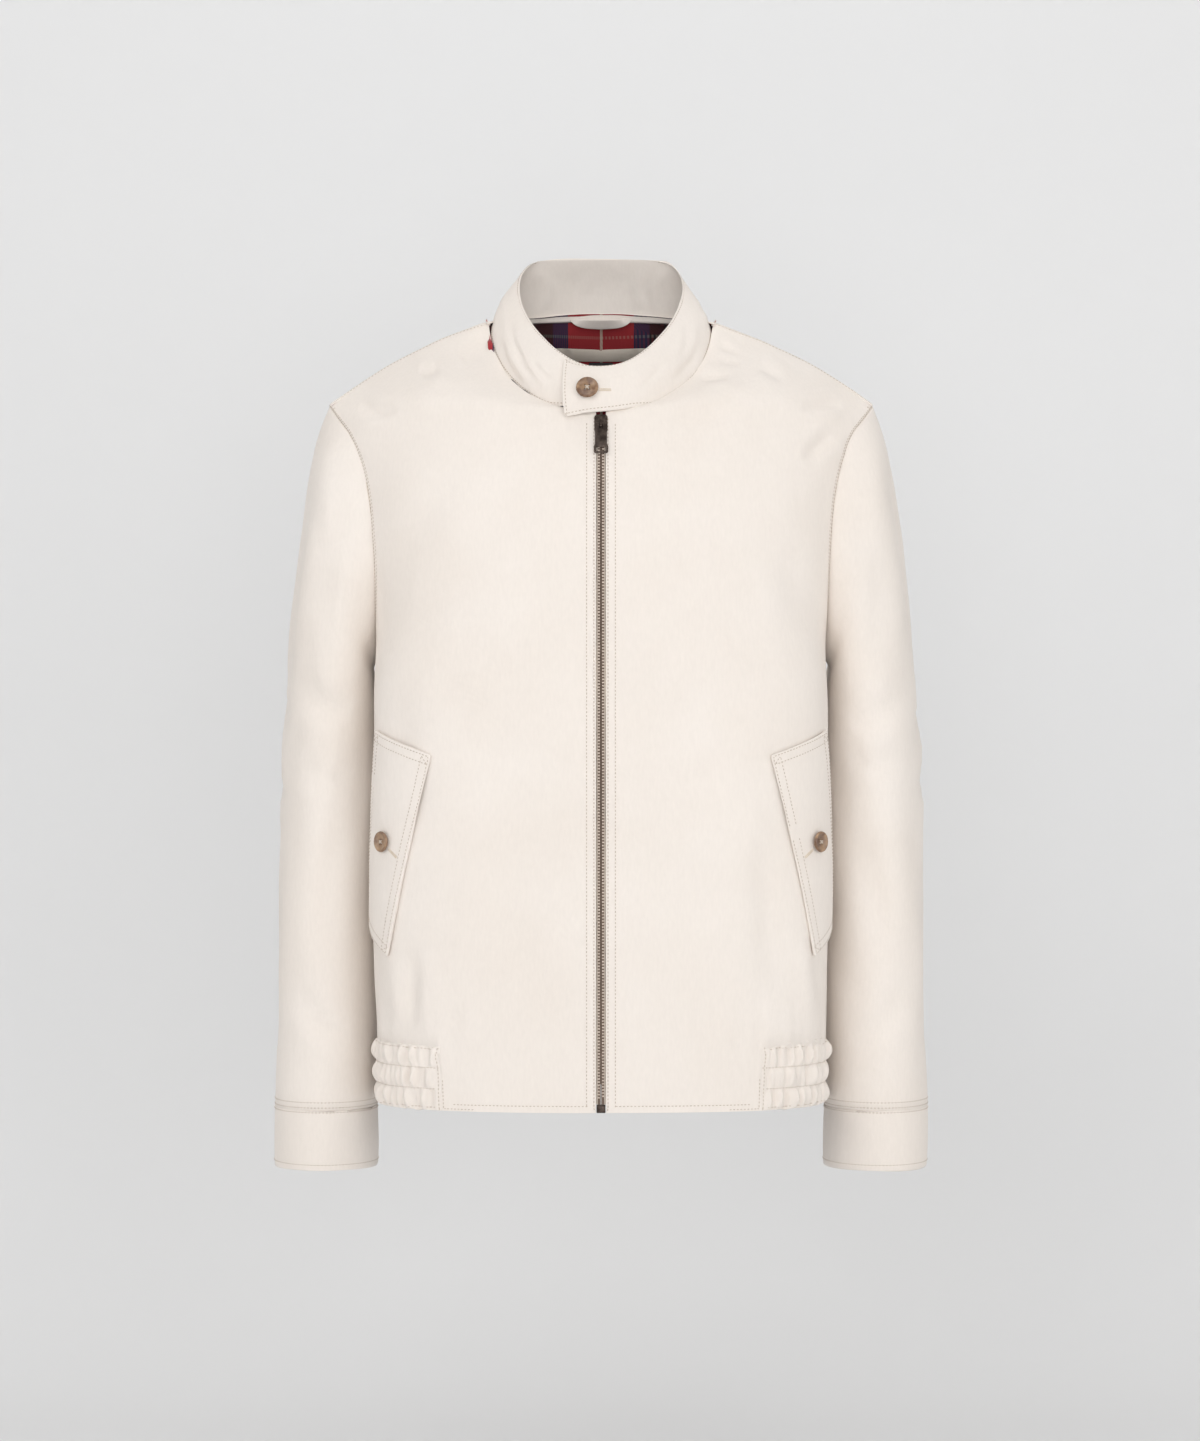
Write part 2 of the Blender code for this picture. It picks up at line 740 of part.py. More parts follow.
def make_collar(shape, cotton, horn):
    """The stand collar, whose left end runs on over the right one as a buttoned tab."""
    half = collar_half(shape)
    flip = Vector((-1, 1, 1))
    columns = [collar_column(low * flip, high * flip, 0) for low, high in half]
    for low, high in reversed(half[:-1]):
        far = min(low.x / TAB_RAMP, 1) if low.y < 0 else 1
        step = TAB_STEP_OUT * (1 - far) ** 2 * (1 + 2 * far)
        columns.append(collar_column(low, high, step))
    first = columns[-1]
    for i in range(1, TAB_COLUMNS + 1):
        t = i / TAB_COLUMNS
        x = CENTRE_EDGE_X + (TAB_END_X - CENTRE_EDGE_X) * t
        columns.append(tab_column(shape, half, x, t, first))
    grid = [list(row) for row in zip(*columns)]
    quads = cells_of(grid)

    def inward(p):
        return outward_from_neck(p) * -BAND_WALL

    add_wall("collar", quads, inward, cotton)
    seat, out = tab_seat(grid)
    add_button("collar_button", seat + out * SEAM_GAP * 2, out, COLLAR_BUTTON_D, horn)


def front_y(shape, x, z):
    """The front's outer skin at this place across and height, by its rows."""
    below = None
    for row in shape.front_grid:
        here = at_x(row, x)
        if below is not None and below.z <= z <= here.z:
            return below.lerp(here, (z - below.z) / (here.z - below.z)).y
        below = here
    return below.y


def tab_column(shape, half, x, t, first):
    """A column of the tab, in front of the other end of the collar, at -x."""
    lows = [pair[0] for pair in half]
    highs = [pair[1] for pair in half]
    low = at_x(lows, x)
    high = at_x(highs, x)
    low.z = first[0].z + (TAB_END_Z - first[0].z) * t
    low.y = min(low.y, front_y(shape, x, low.z))
    high.z -= TAB_TOP_DROP * t
    flip = Vector((-1, 1, 1))
    return collar_column(low * flip, high * flip, TAB_STEP_OUT)


def at_x(line, x):
    for a, b in zip(line, line[1:]):
        if a.x <= x <= b.x:
            return a.lerp(b, (x - a.x) / (b.x - a.x))
    return line[0].copy()


def tab_seat(grid):
    """The button's seat on the tab, and the direction out of the cloth there."""
    row = COLLAR_ROWS // 2
    line = [grid_row[::-1] for grid_row in grid]
    for c in range(TAB_COLUMNS):
        a, b = line[row][c], line[row][c + 1]
        if a.x <= COLLAR_BUTTON_X <= b.x:
            seat = a.lerp(b, (COLLAR_BUTTON_X - a.x) / (b.x - a.x))
            up = line[row + 1][c] - line[row - 1][c]
            out = (b - a).cross(up).normalized()
            return seat, out if out.y < 0 else -out
    return None


def make_zip(shape, tape, brass):
    """The chain's two halves on their tapes, the box at the end, the slider and its pull."""
    outline = [
        (CHAIN_X[0], CHAIN_DEPTH[0]),
        (CHAIN_X[1], CHAIN_DEPTH[0]),
        (CHAIN_X[1], TAPE_DEPTH[0]),
        (TAPE_X, TAPE_DEPTH[0]),
        (TAPE_X, TAPE_DEPTH[1]),
        (CHAIN_X[0], CHAIN_DEPTH[1]),
    ]
    heights = [CHAIN_END_Z + (CHAIN_TOP_Z - CHAIN_END_Z) * i / ZIP_STEPS for i in range(ZIP_STEPS + 1)]
    for side in (1, -1):
        mesh = bmesh.new()
        rings = []
        for z in heights:
            y = centre_y(shape, z)
            rings.append([mesh.verts.new((side * x, y + depth, z)) for x, depth in outline])
        for a, b in zip(rings, rings[1:]):
            for i in range(len(outline)):
                j = (i + 1) % len(outline)
                mesh.faces.new((a[i], a[j], b[j], b[i]))
        mesh.faces.new(rings[0])
        mesh.faces.new(rings[-1])
        bmesh.ops.recalc_face_normals(mesh, faces=mesh.faces)
        add_object(f"zip_{side_name(side)}", mesh, tape)
    half_z = BOX_HALF[2]
    middle_z = HEM_Z + half_z + SEAM_GAP
    place = Vector((0, centre_y(shape, middle_z) + BOX_DEPTH, middle_z))
    add_box("zip_box", place, BOX_HALF, brass)


def centre_y(shape, z):
    """The outer skin at the front's middle edge, at this height."""
    edge = [line[0] for line in shape.front.lines[: len(BODY_RINGS) + len(FRONT_ROWS)]]
    for a, b in zip(edge, edge[1:]):
        if a.z <= z <= b.z:
            return a.lerp(b, (z - a.z) / (b.z - a.z)).y
    return edge[-1].y


def add_box(name, centre, half, finish, bevel=0.0):
    mesh = bmesh.new()
    bmesh.ops.create_cube(mesh, size=2, matrix=Matrix.Diagonal((*half, 1)))
    if bevel:
        edges = [e for e in mesh.edges if abs(e.verts[0].co.y - e.verts[1].co.y) > half[1]]
        bmesh.ops.bevel(mesh, geom=edges, offset=bevel, segments=3, affect="EDGES", profile=0.5)
    made = add_object(name, mesh, finish)
    made.location = centre
    return made


def box_mesh(low, high):
    mesh = bmesh.new()
    middle = (Vector(low) + Vector(high)) / 2
    half = (Vector(high) - Vector(low)) / 2
    bmesh.ops.create_cube(
        mesh, size=2, matrix=Matrix.Translation(middle) @ Matrix.Diagonal((*half, 1))
    )
    return mesh


def zip_place(shape):
    """An empty on the skin at the bail, leaning as the front leans under the slider."""
    fall = centre_y(shape, SLIDER_END_Z) - centre_y(shape, SLIDER_TOP_Z)
    place = bpy.data.objects.new("slider_place", None)
    place.location = (0, centre_y(shape, BAIL_Z), BAIL_Z)
    place.rotation_euler.x = math.atan2(fall, SLIDER_TOP_Z - SLIDER_END_Z)
    bpy.data.collections[COLLECTION].objects.link(place)
    return place


def make_slider(place, brass):
    """Two plates round the chain, a neck between them, and a bail for the pull."""
    top = SLIDER_TOP_Z - BAIL_Z
    end = SLIDER_END_Z - BAIL_Z
    neck_end = CHAIN_TOP_Z - BAIL_Z + 2 * SLIDER_CLEAR
    plate_y = -SLIDER_CLEAR - SLIDER_PLATE
    back_y = CHAIN_DEPTH[1] + 1.5 * SLIDER_CLEAR
    w = BAIL_WIRE / 2
    bail_y = BAIL_DEPTH - BAIL_ROOM - BAIL_WIRE
    high = BAIL_HALF_HEIGHT + w
    low = BAIL_HALF_HEIGHT - w
    slider = add_box(
        "zip_slider",
        Vector((0, plate_y + SLIDER_PLATE / 2, (top + end) / 2)),
        (SLIDER_HALF_WIDTH, SLIDER_PLATE / 2, (top - end) / 2),
        brass,
        bevel=SLIDER_CORNER,
    )
    slider.parent = place
    inset = 0.0004
    blocks = [
        ((-NECK_HALF, plate_y + inset, neck_end), (NECK_HALF, back_y + inset, top - inset)),
        ((-0.0050, back_y, end + 2 * inset), (0.0050, back_y + SLIDER_PLATE, top - inset / 2)),
        ((-BAIL_WIRE, bail_y, low), (BAIL_WIRE, plate_y + inset, high)),
        ((-BAIL_WIRE, bail_y, -high), (BAIL_WIRE, plate_y + inset, -low)),
        ((-w, bail_y + inset / 4, -BAIL_HALF_HEIGHT), (w, bail_y + BAIL_WIRE, BAIL_HALF_HEIGHT)),
    ]
    for number, (near, far) in enumerate(blocks):
        block = add_cutter(f"slider_block_{number}", box_mesh(near, far))
        block.parent = place
        join = slider.modifiers.new(f"block_{number}", "BOOLEAN")
        join.operation = "UNION"
        join.object = block


def make_pull(place, brass):
    """The pull tab, with the hole that the bail goes through and a window at its end."""
    hinge = bpy.data.objects.new("pull_hinge", None)
    hinge.parent = place
    hinge.location = (0, BAIL_DEPTH, 0)
    bpy.data.collections[COLLECTION].objects.link(hinge)
    top = 0.0008
    end = top - PULL_LENGTH
    outline = [
        (-PULL_TOP_WIDTH / 2 + 0.001, top),
        (PULL_TOP_WIDTH / 2 - 0.001, top),
        (PULL_TOP_WIDTH / 2, top - 0.001),
        (PULL_TOP_WIDTH / 2, end + 0.008),
        (PULL_END_WIDTH / 2, end + 0.006),
        (PULL_END_WIDTH / 2, end + 0.001),
        (PULL_END_WIDTH / 2 - 0.001, end),
        (-PULL_END_WIDTH / 2 + 0.001, end),
        (-PULL_END_WIDTH / 2, end + 0.001),
        (-PULL_END_WIDTH / 2, end + 0.006),
        (-PULL_TOP_WIDTH / 2, end + 0.008),
        (-PULL_TOP_WIDTH / 2, top - 0.001),
    ]
    mesh = bmesh.new()
    near = [mesh.verts.new((x, -PULL_WALL / 2, z)) for x, z in outline]
    far = [mesh.verts.new((x, PULL_WALL / 2, z)) for x, z in outline]
    mesh.faces.new(near)
    mesh.faces.new(far[::-1])
    for i in range(len(outline)):
        j = (i + 1) % len(outline)
        mesh.faces.new((near[j], near[i], far[i], far[j]))
    bmesh.ops.recalc_face_normals(mesh, faces=mesh.faces)
    pull = add_object("zip_pull", mesh, brass)
    pull.parent = hinge
    for number, (low, high) in enumerate(
        (
            ((-0.0016, -1, -0.0048), (0.0016, 1, -BAIL_WIRE / 2)),
            ((-0.0042, -1, end + 0.0018), (0.0042, 1, end + 0.0052)),
        )
    ):
        cutter = add_cutter(f"pull_window_{number}", box_mesh(low, high))
        cutter.scale = (1, 0.01, 1)
        cutter.parent = hinge
        cut = pull.modifiers.new(f"window_{number}", "BOOLEAN")
        cut.operation = "DIFFERENCE"
        cut.object = cutter


def back_tree(shape):
    """The back's outer skin, both halves, for finding the place behind a point."""
    quads = cells_of(shape.back_grid)
    corners = [p for quad in quads + mirrored(quads) for p in quad]
    faces = [tuple(range(i, i + 4)) for i in range(0, len(corners), 4)]
    return BVHTree.FromPolygons(corners, faces)


def inside_back(tree, x, z, depth):
    """The point straight behind x and z that is this deep inside the back's outer skin."""
    hit, normal, _, _ = tree.ray_cast(Vector((x, 0, z)), Vector((0, 1, 0)))
    return hit - Vector((0, depth / abs(normal.y), 0))


def band_inside(tree, width, top, end, depth, columns):
    """A flat band of cloth on the inside of the back, from its top to its end height."""
    rows = []
    for z in (end, top):
        places = [width * (i / columns - 0.5) for i in range(columns + 1)]
        rows.append([inside_back(tree, x, z, depth) for x in places])
    return cells_of(rows)


def towards_front(wall):
    """The inside of the back faces the front and the body's axis."""
    return lambda p: Vector((-1.2 * p.x, -0.12 - 0.2 * p.y, -0.05)).normalized() * wall


def make_lining(shape, finishes):
    """What shows inside the neck: the lining, two plain labels and the hanging loop."""
    depth = CLOTH_WALL + LINING_GAP
    grid = shape.back_grid[len(shape.back_grid) - 1 - BACK_NECK_ROWS - LINING_ROWS :]
    cells = cells_of(grid, lambda r, c: c < LINING_COLUMNS)
    normals = {}
    moved = []
    for quad in cells + mirrored(cells):
        for p in quad:
            normals[place_key(p - shape.normals[place_key(p)] * depth)] = shape.normals[place_key(p)]
        moved.append([p - shape.normals[place_key(p)] * depth for p in quad])

    def inward(p):
        return normals[place_key(p)] * -LINING_WALL

    add_wall("lining", moved, inward, finishes.tartan, seam_inset=LINING_INSET)
    depth += LINING_WALL + 2 * SEAM_GAP
    tree = back_tree(shape)
    label = band_inside(tree, LABEL_WIDTH, LABEL_TOP_Z, LABEL_END_Z, depth, 8)
    add_wall("label", label, towards_front(LABEL_WALL), finishes.label)
    top = LABEL_END_Z - 2 * SEAM_GAP
    size_label = band_inside(tree, SIZE_LABEL_WIDTH, top, SIZE_LABEL_END_Z, depth, 4)
    add_wall("size_label", size_label, towards_front(LABEL_WALL), finishes.black)
    make_loop(tree, finishes.cotton, depth)


def make_loop(tree, cotton, depth):
    """A strap that hangs as a shallow U and stands off the lining at its middle."""
    half = [LoopStation(*station) for station in LOOP_STATIONS]
    flipped = [LoopStation(-s.low_x, s.low_z, -s.top_x, s.top_z) for s in half[:0:-1]]
    stations = flipped + half
    rows = [[], []]
    for number, s in enumerate(stations):
        share = 2 * number / (len(stations) - 1) - 1
        away = depth - LOOP_SEAT + LOOP_STAND * (1 - share**4)
        rows[0].append(inside_back(tree, s.low_x, s.low_z, away))
        rows[1].append(inside_back(tree, s.top_x, s.top_z, away))
    add_wall("hanging_loop", cells_of(rows), towards_front(LOOP_WALL), cotton)


Finishes = namedtuple("Finishes", "cotton tartan label black")


class Shape:
    """The shell's surfaces and the points that its pieces share."""

    def __init__(self):
        self.front = front_surface()
        self.back = back_surface()
        self.shares = column_shares()
        self.front_grid = panel_grid(self.front, self.shares)
        self.back_grid = panel_grid(self.back, self.shares)
        self.sleeve_grid = sleeve_grid(self.front_grid, self.back_grid)


def material(name, colour, roughness, metallic=0.0):
    made = bpy.data.materials.new(name)
    made.use_nodes = True
    shader = made.node_tree.nodes["Principled BSDF"]
    shader.inputs["Base Color"].default_value = colour
    shader.inputs["Roughness"].default_value = roughness
    shader.inputs["Metallic"].default_value = metallic
    return made


def clear_scene():
    for old in list(bpy.data.objects):
        bpy.data.objects.remove(old)
    for name in (COLLECTION, "cutters"):
        bpy.context.scene.collection.children.link(bpy.data.collections.new(name))


def main():
    clear_scene()
    cotton = material("cream_cotton", COTTON, 0.85)
    tartan = material("tartan_lining", TARTAN, 0.8)
    horn = material("horn_button", HORN, 0.35)
    brass = material("dark_brass", DARK_BRASS, 0.4, 1.0)
    tape = material("zip_tape", TAPE_CREAM, 0.9)
    label = material("woven_label", TAPE_CREAM, 0.9)
    black = material("black_label", LABEL_BLACK, 0.8)
    finishes = Finishes(cotton, tartan, label, black)
    shape = Shape()
    make_shell(shape, cotton)
    make_cuffs(shape, cotton)
    make_elastics(shape, cotton)
    make_pockets(shape, cotton, horn)
    make_collar(shape, cotton, horn)
    make_zip(shape, tape, brass)
    place = zip_place(shape)
    make_slider(place, brass)
    make_pull(place, brass)
    make_lining(shape, finishes)


main()
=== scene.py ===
import json
import math
import bmesh
import bpy
import numpy as np
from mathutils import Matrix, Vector, noise
from mathutils.bvhtree import BVHTree
from mathutils.kdtree import KDTree

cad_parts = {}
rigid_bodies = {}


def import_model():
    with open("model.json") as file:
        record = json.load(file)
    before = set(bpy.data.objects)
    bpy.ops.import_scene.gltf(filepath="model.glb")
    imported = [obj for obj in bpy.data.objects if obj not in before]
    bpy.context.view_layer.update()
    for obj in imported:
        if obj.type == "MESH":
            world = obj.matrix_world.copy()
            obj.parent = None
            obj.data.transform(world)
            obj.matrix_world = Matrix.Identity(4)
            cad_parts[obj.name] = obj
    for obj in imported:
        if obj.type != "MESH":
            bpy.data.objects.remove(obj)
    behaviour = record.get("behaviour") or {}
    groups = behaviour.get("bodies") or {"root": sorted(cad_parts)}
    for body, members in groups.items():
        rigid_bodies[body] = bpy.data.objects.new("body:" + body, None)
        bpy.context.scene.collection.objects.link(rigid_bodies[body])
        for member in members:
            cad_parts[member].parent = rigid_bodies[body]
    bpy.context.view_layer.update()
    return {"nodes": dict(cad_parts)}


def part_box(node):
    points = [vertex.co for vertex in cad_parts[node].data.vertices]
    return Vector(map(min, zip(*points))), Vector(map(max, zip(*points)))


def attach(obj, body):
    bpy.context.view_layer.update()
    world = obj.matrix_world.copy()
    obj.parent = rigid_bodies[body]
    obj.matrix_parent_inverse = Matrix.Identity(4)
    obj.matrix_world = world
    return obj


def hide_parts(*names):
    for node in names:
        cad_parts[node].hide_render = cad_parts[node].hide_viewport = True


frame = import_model()


# Selecting, applying and finishing a piece

def pickOne(piece):
    bpy.ops.object.select_all(action="DESELECT")
    piece.select_set(True)
    bpy.context.view_layer.objects.active = piece


def applyModifiers(piece):
    pickOne(piece)
    for modifier in list(piece.modifiers):
        bpy.ops.object.modifier_apply(modifier=modifier.name)


def settle(piece):
    # the piece's place goes into its mesh, and its object stays at the origin
    pickOne(piece)
    bpy.ops.object.transform_apply(location=True, rotation=True, scale=True)


def keep(piece, body, nodes=()):
    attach(piece, body)
    if nodes:
        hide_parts(*nodes)


def meshPiece(name, mesh):
    data = bpy.data.meshes.new(name)
    mesh.to_mesh(data)
    mesh.free()
    piece = bpy.data.objects.new(name, data)
    bpy.context.scene.collection.objects.link(piece)
    return piece


# Materials

def addNode(tree, kind, **values):
    node = tree.nodes.new(kind)
    for key, value in values.items():
        if key.startswith("in_"):
            node.inputs[key[3:].replace("_", " ")].default_value = value
        else:
            setattr(node, key, value)
    return node


def newMaterial(name, roughness, metallic=0.0, sheen=0.0, coat=0.0):
    material = bpy.data.materials.new(name)
    material.use_nodes = True
    tree = material.node_tree
    shader = tree.nodes["Principled BSDF"]
    shader.inputs["Roughness"].default_value = roughness
    shader.inputs["Metallic"].default_value = metallic
    shader.inputs["Sheen Weight"].default_value = sheen
    shader.inputs["Coat Weight"].default_value = coat
    return material, tree, shader


def mottle(tree, place, scale, detail, low, high, dark, light):
    spots = addNode(tree, "ShaderNodeTexNoise", in_Scale=scale, in_Detail=detail)
    tree.links.new(place, spots.inputs["Vector"])
    ramp = addNode(tree, "ShaderNodeValToRGB")
    ramp.color_ramp.elements[0].position = low
    ramp.color_ramp.elements[0].color = (*dark, 1)
    ramp.color_ramp.elements[1].position = high
    ramp.color_ramp.elements[1].color = (*light, 1)
    tree.links.new(spots.outputs["Fac"], ramp.inputs["Fac"])
    return ramp.outputs["Color"]


def bumpFrom(tree, shader, height, strength, distance, before=None):
    bump = addNode(tree, "ShaderNodeBump", in_Strength=strength, in_Distance=distance)
    tree.links.new(height, bump.inputs["Height"])
    if before:
        tree.links.new(before, bump.inputs["Normal"])
    tree.links.new(bump.outputs["Normal"], shader.inputs["Normal"])
    return bump.outputs["Normal"]


def threadsOf(tree, place, period, directions):
    # fine crossing bands, as warp and weft
    bands = []
    for direction in directions:
        wave = addNode(tree, "ShaderNodeTexWave", wave_type="BANDS", bands_direction=direction)
        wave.inputs["Scale"].default_value = 2 * math.pi / 20 / period
        wave.inputs["Distortion"].default_value = 0.6
        wave.inputs["Detail"].default_value = 1
        tree.links.new(place, wave.inputs["Vector"])
        bands.append(wave.outputs["Fac"])
    both = addNode(tree, "ShaderNodeMath", operation="MAXIMUM")
    tree.links.new(bands[0], both.inputs[0])
    tree.links.new(bands[1], both.inputs[1])
    return both.outputs[0]


def paintedShadowMiddle(tree, place, colour, reach, dark):
    # painted shadow: a dark core down the middle of the tape, standing in for the shade between a chain's two rows of
    # teeth
    axes = addNode(tree, "ShaderNodeSeparateXYZ")
    tree.links.new(place, axes.inputs[0])
    size = addNode(tree, "ShaderNodeMath", operation="ABSOLUTE")
    tree.links.new(axes.outputs["X"], size.inputs[0])
    inside = addNode(tree, "ShaderNodeMath", operation="LESS_THAN")
    tree.links.new(size.outputs[0], inside.inputs[0])
    inside.inputs[1].default_value = reach
    mix = addNode(tree, "ShaderNodeMix", data_type="RGBA")
    tree.links.new(inside.outputs[0], mix.inputs[0])
    tree.links.new(colour, mix.inputs[6])
    mix.inputs[7].default_value = (*dark, 1)
    return mix.outputs[2]


def clothFinish(name, look):
    material, tree, shader = newMaterial(name, look["roughness"], sheen=look["sheen"])
    place = addNode(tree, "ShaderNodeTexCoord").outputs["Object"]
    colour = mottle(tree, place, look["patch"], 4, 0.35, 0.68, look["dark"], look["light"])
    tree.links.new(colour, shader.inputs["Base Color"])
    weave = threadsOf(tree, place, look["thread"], ("X", "Z"))
    first = bumpFrom(tree, shader, weave, look["weave"], 0.0002)
    drawn = addNode(tree, "ShaderNodeMapping", in_Scale=(1.0, 1.0, 0.28))
    tree.links.new(place, drawn.inputs["Vector"])
    slubs = addNode(tree, "ShaderNodeTexNoise", in_Scale=look["slub"], in_Detail=6, in_Roughness=0.62)
    tree.links.new(drawn.outputs["Vector"], slubs.inputs["Vector"])
    second = bumpFrom(tree, shader, slubs.outputs["Fac"], look["rumple"], 0.0022, first)
    ripples = addNode(tree, "ShaderNodeTexNoise", in_Scale=26.0, in_Detail=3, in_Distortion=0.6)
    tree.links.new(place, ripples.inputs["Vector"])
    bumpFrom(tree, shader, ripples.outputs["Fac"], look["rumple"] * 1.1, 0.0060, second)
    streaks = addNode(tree, "ShaderNodeTexNoise", in_Scale=look["slub"] * 5, in_Detail=3)
    tree.links.new(drawn.outputs["Vector"], streaks.inputs["Vector"])
    tint = addNode(tree, "ShaderNodeMapRange", in_To_Min=0.955, in_To_Max=1.03)
    tree.links.new(streaks.outputs["Fac"], tint.inputs["Value"])
    shaded = addNode(tree, "ShaderNodeVectorMath", operation="SCALE")
    tree.links.new(colour, shaded.inputs[0])
    tree.links.new(tint.outputs[0], shaded.inputs["Scale"])
    final = shaded.outputs[0]
    # painted shadow down the middle of a zip tape
    if "paintedShadow" in look:
        final = paintedShadowMiddle(tree, place, final, *look["paintedShadow"])
    tree.links.new(final, shader.inputs["Base Color"])
    return material


def tartanFinish(name, look):
    material, tree, shader = newMaterial(name, 0.92, sheen=0.25)
    place = addNode(tree, "ShaderNodeTexCoord").outputs["Object"]
    axes = addNode(tree, "ShaderNodeSeparateXYZ")
    tree.links.new(place, axes.inputs[0])
    stripes = []
    for axis, start in (("X", look["startX"]), ("Z", look["startZ"])):
        moved = addNode(tree, "ShaderNodeMath", operation="SUBTRACT")
        tree.links.new(axes.outputs[axis], moved.inputs[0])
        moved.inputs[1].default_value = start
        share = addNode(tree, "ShaderNodeMath", operation="DIVIDE")
        tree.links.new(moved.outputs[0], share.inputs[0])
        share.inputs[1].default_value = look["repeat"]
        turn = addNode(tree, "ShaderNodeMath", operation="FLOORED_MODULO")
        tree.links.new(share.outputs[0], turn.inputs[0])
        turn.inputs[1].default_value = 1.0
        ramp = addNode(tree, "ShaderNodeValToRGB")
        ramp.color_ramp.interpolation = "CONSTANT"
        for number, (position, colour) in enumerate(look["sett"]):
            if number < 2:
                stop = ramp.color_ramp.elements[number]
                stop.position = position
            else:
                stop = ramp.color_ramp.elements.new(position)
            stop.color = (*look[colour], 1)
        tree.links.new(turn.outputs[0], ramp.inputs["Fac"])
        stripes.append(ramp.outputs["Color"])
    twill = addNode(tree, "ShaderNodeTexWave", wave_type="BANDS", bands_direction="DIAGONAL")
    twill.inputs["Scale"].default_value = 2 * math.pi / 20 / 0.0011
    tree.links.new(place, twill.inputs["Vector"])
    weft = addNode(tree, "ShaderNodeMath", operation="MULTIPLY")
    tree.links.new(twill.outputs["Fac"], weft.inputs[0])
    weft.inputs[1].default_value = look["weft"]
    mix = addNode(tree, "ShaderNodeMix", data_type="RGBA")
    tree.links.new(weft.outputs[0], mix.inputs[0])
    tree.links.new(stripes[0], mix.inputs[6])
    tree.links.new(stripes[1], mix.inputs[7])
    tree.links.new(mix.outputs[2], shader.inputs["Base Color"])
    bumpFrom(tree, shader, twill.outputs["Fac"], 0.25, 0.0003)
    return material


def hornFinish(name, look):
    material, tree, shader = newMaterial(name, look["roughness"], coat=0.25)
    place = addNode(tree, "ShaderNodeTexCoord").outputs["Object"]
    colour = mottle(tree, place, look["patch"], 6, 0.36, 0.66, look["dark"], look["light"])
    tree.links.new(colour, shader.inputs["Base Color"])
    grain = addNode(tree, "ShaderNodeTexNoise", in_Scale=900.0, in_Detail=3)
    tree.links.new(place, grain.inputs["Vector"])
    bumpFrom(tree, shader, grain.outputs["Fac"], 0.12, 0.0002)
    return material


def metalFinish(name, look):
    material, tree, shader = newMaterial(name, look["roughness"], metallic=look["metal"])
    place = addNode(tree, "ShaderNodeTexCoord").outputs["Object"]
    colour = mottle(tree, place, look["patch"], 5, 0.38, 0.64, look["dark"], look["light"])
    tree.links.new(colour, shader.inputs["Base Color"])
    scratches = addNode(tree, "ShaderNodeTexNoise", in_Scale=1400.0, in_Detail=2)
    tree.links.new(place, scratches.inputs["Vector"])
    bumpFrom(tree, shader, scratches.outputs["Fac"], 0.10, 0.0001)
    return material


cottonLook = {
    "light": (0.855, 0.790, 0.730), "dark": (0.825, 0.755, 0.690), "patch": 9.0,
    "roughness": 0.86, "sheen": 0.12, "thread": 0.00062, "weave": 0.16, "slub": 95.0, "rumple": 0.16,
}
innerLook = dict(cottonLook, light=(0.80, 0.72, 0.64), dark=(0.74, 0.66, 0.57))
# painted shade: the stitch thread is coloured darker than the cloth, standing in for the shade in the small grooves of
# the stitch lines
paintedShadeThreadColours = dict(cottonLook, light=(0.60, 0.51, 0.43), dark=(0.52, 0.44, 0.36), patch=300.0, weave=0.3)
# painted shadow: the tape gets a dark band down its middle for the shade between the two rows of teeth
tapeLook = dict(cottonLook, light=(0.74, 0.66, 0.57), dark=(0.66, 0.58, 0.49), thread=0.0009, weave=0.5,
                paintedShadow=(0.0029, (0.165, 0.120, 0.092)))
labelLook = dict(cottonLook, light=(0.83, 0.76, 0.66), dark=(0.78, 0.70, 0.60), thread=0.0005, roughness=0.55)
blackLook = dict(cottonLook, light=(0.022, 0.021, 0.021), dark=(0.012, 0.012, 0.012), roughness=0.6)
tartanLook = {
    "red": (0.340, 0.018, 0.024), "navy": (0.012, 0.018, 0.060), "black": (0.006, 0.006, 0.008),
    "pale": (0.55, 0.42, 0.34), "repeat": 0.122, "startX": -0.0285, "startZ": -0.0175, "weft": 0.26,
    "sett": [(0.0, "red"), (0.226, "pale"), (0.243, "red"), (0.470, "navy"),
             (0.585, "black"), (0.885, "navy"), (0.995, "red")],
}
hornLook = {"light": (0.42, 0.27, 0.16), "dark": (0.15, 0.075, 0.040), "patch": 130.0, "roughness": 0.32}
brassLook = {
    "light": (0.105, 0.080, 0.066), "dark": (0.040, 0.029, 0.024), "patch": 220.0, "roughness": 0.42, "metal": 0.85,
}
toothLook = {
    "light": (0.62, 0.52, 0.44), "dark": (0.46, 0.37, 0.30), "patch": 500.0, "roughness": 0.5, "metal": 0.15,
}

cotton = clothFinish("cotton", cottonLook)
cottonInner = clothFinish("cottonInner", innerLook)
# painted shade: stitch thread darker than the cloth it sews, for the shade in the stitch grooves
sewingThread = clothFinish("sewingThread", paintedShadeThreadColours)
holeLook = dict(paintedShadeThreadColours, light=(0.80, 0.70, 0.58), dark=(0.70, 0.60, 0.48))
buttonholeThread = clothFinish("buttonholeThread", holeLook)
zipTape = clothFinish("zipTape", tapeLook)
labelWeave = clothFinish("labelWeave", labelLook)
blackWeave = clothFinish("blackWeave", blackLook)
tartan = tartanFinish("tartan", tartanLook)
horn = hornFinish("horn", hornLook)
darkBrass = metalFinish("darkBrass", brassLook)
toothMetal = metalFinish("toothMetal", toothLook)
print("materials made")


# Taking cloth from the frame's nodes

def mergedNode(node):
    mesh = bmesh.new()
    mesh.from_mesh(frame["nodes"][node].data)
    bmesh.ops.remove_doubles(mesh, verts=mesh.verts, dist=1e-6)
    return mesh


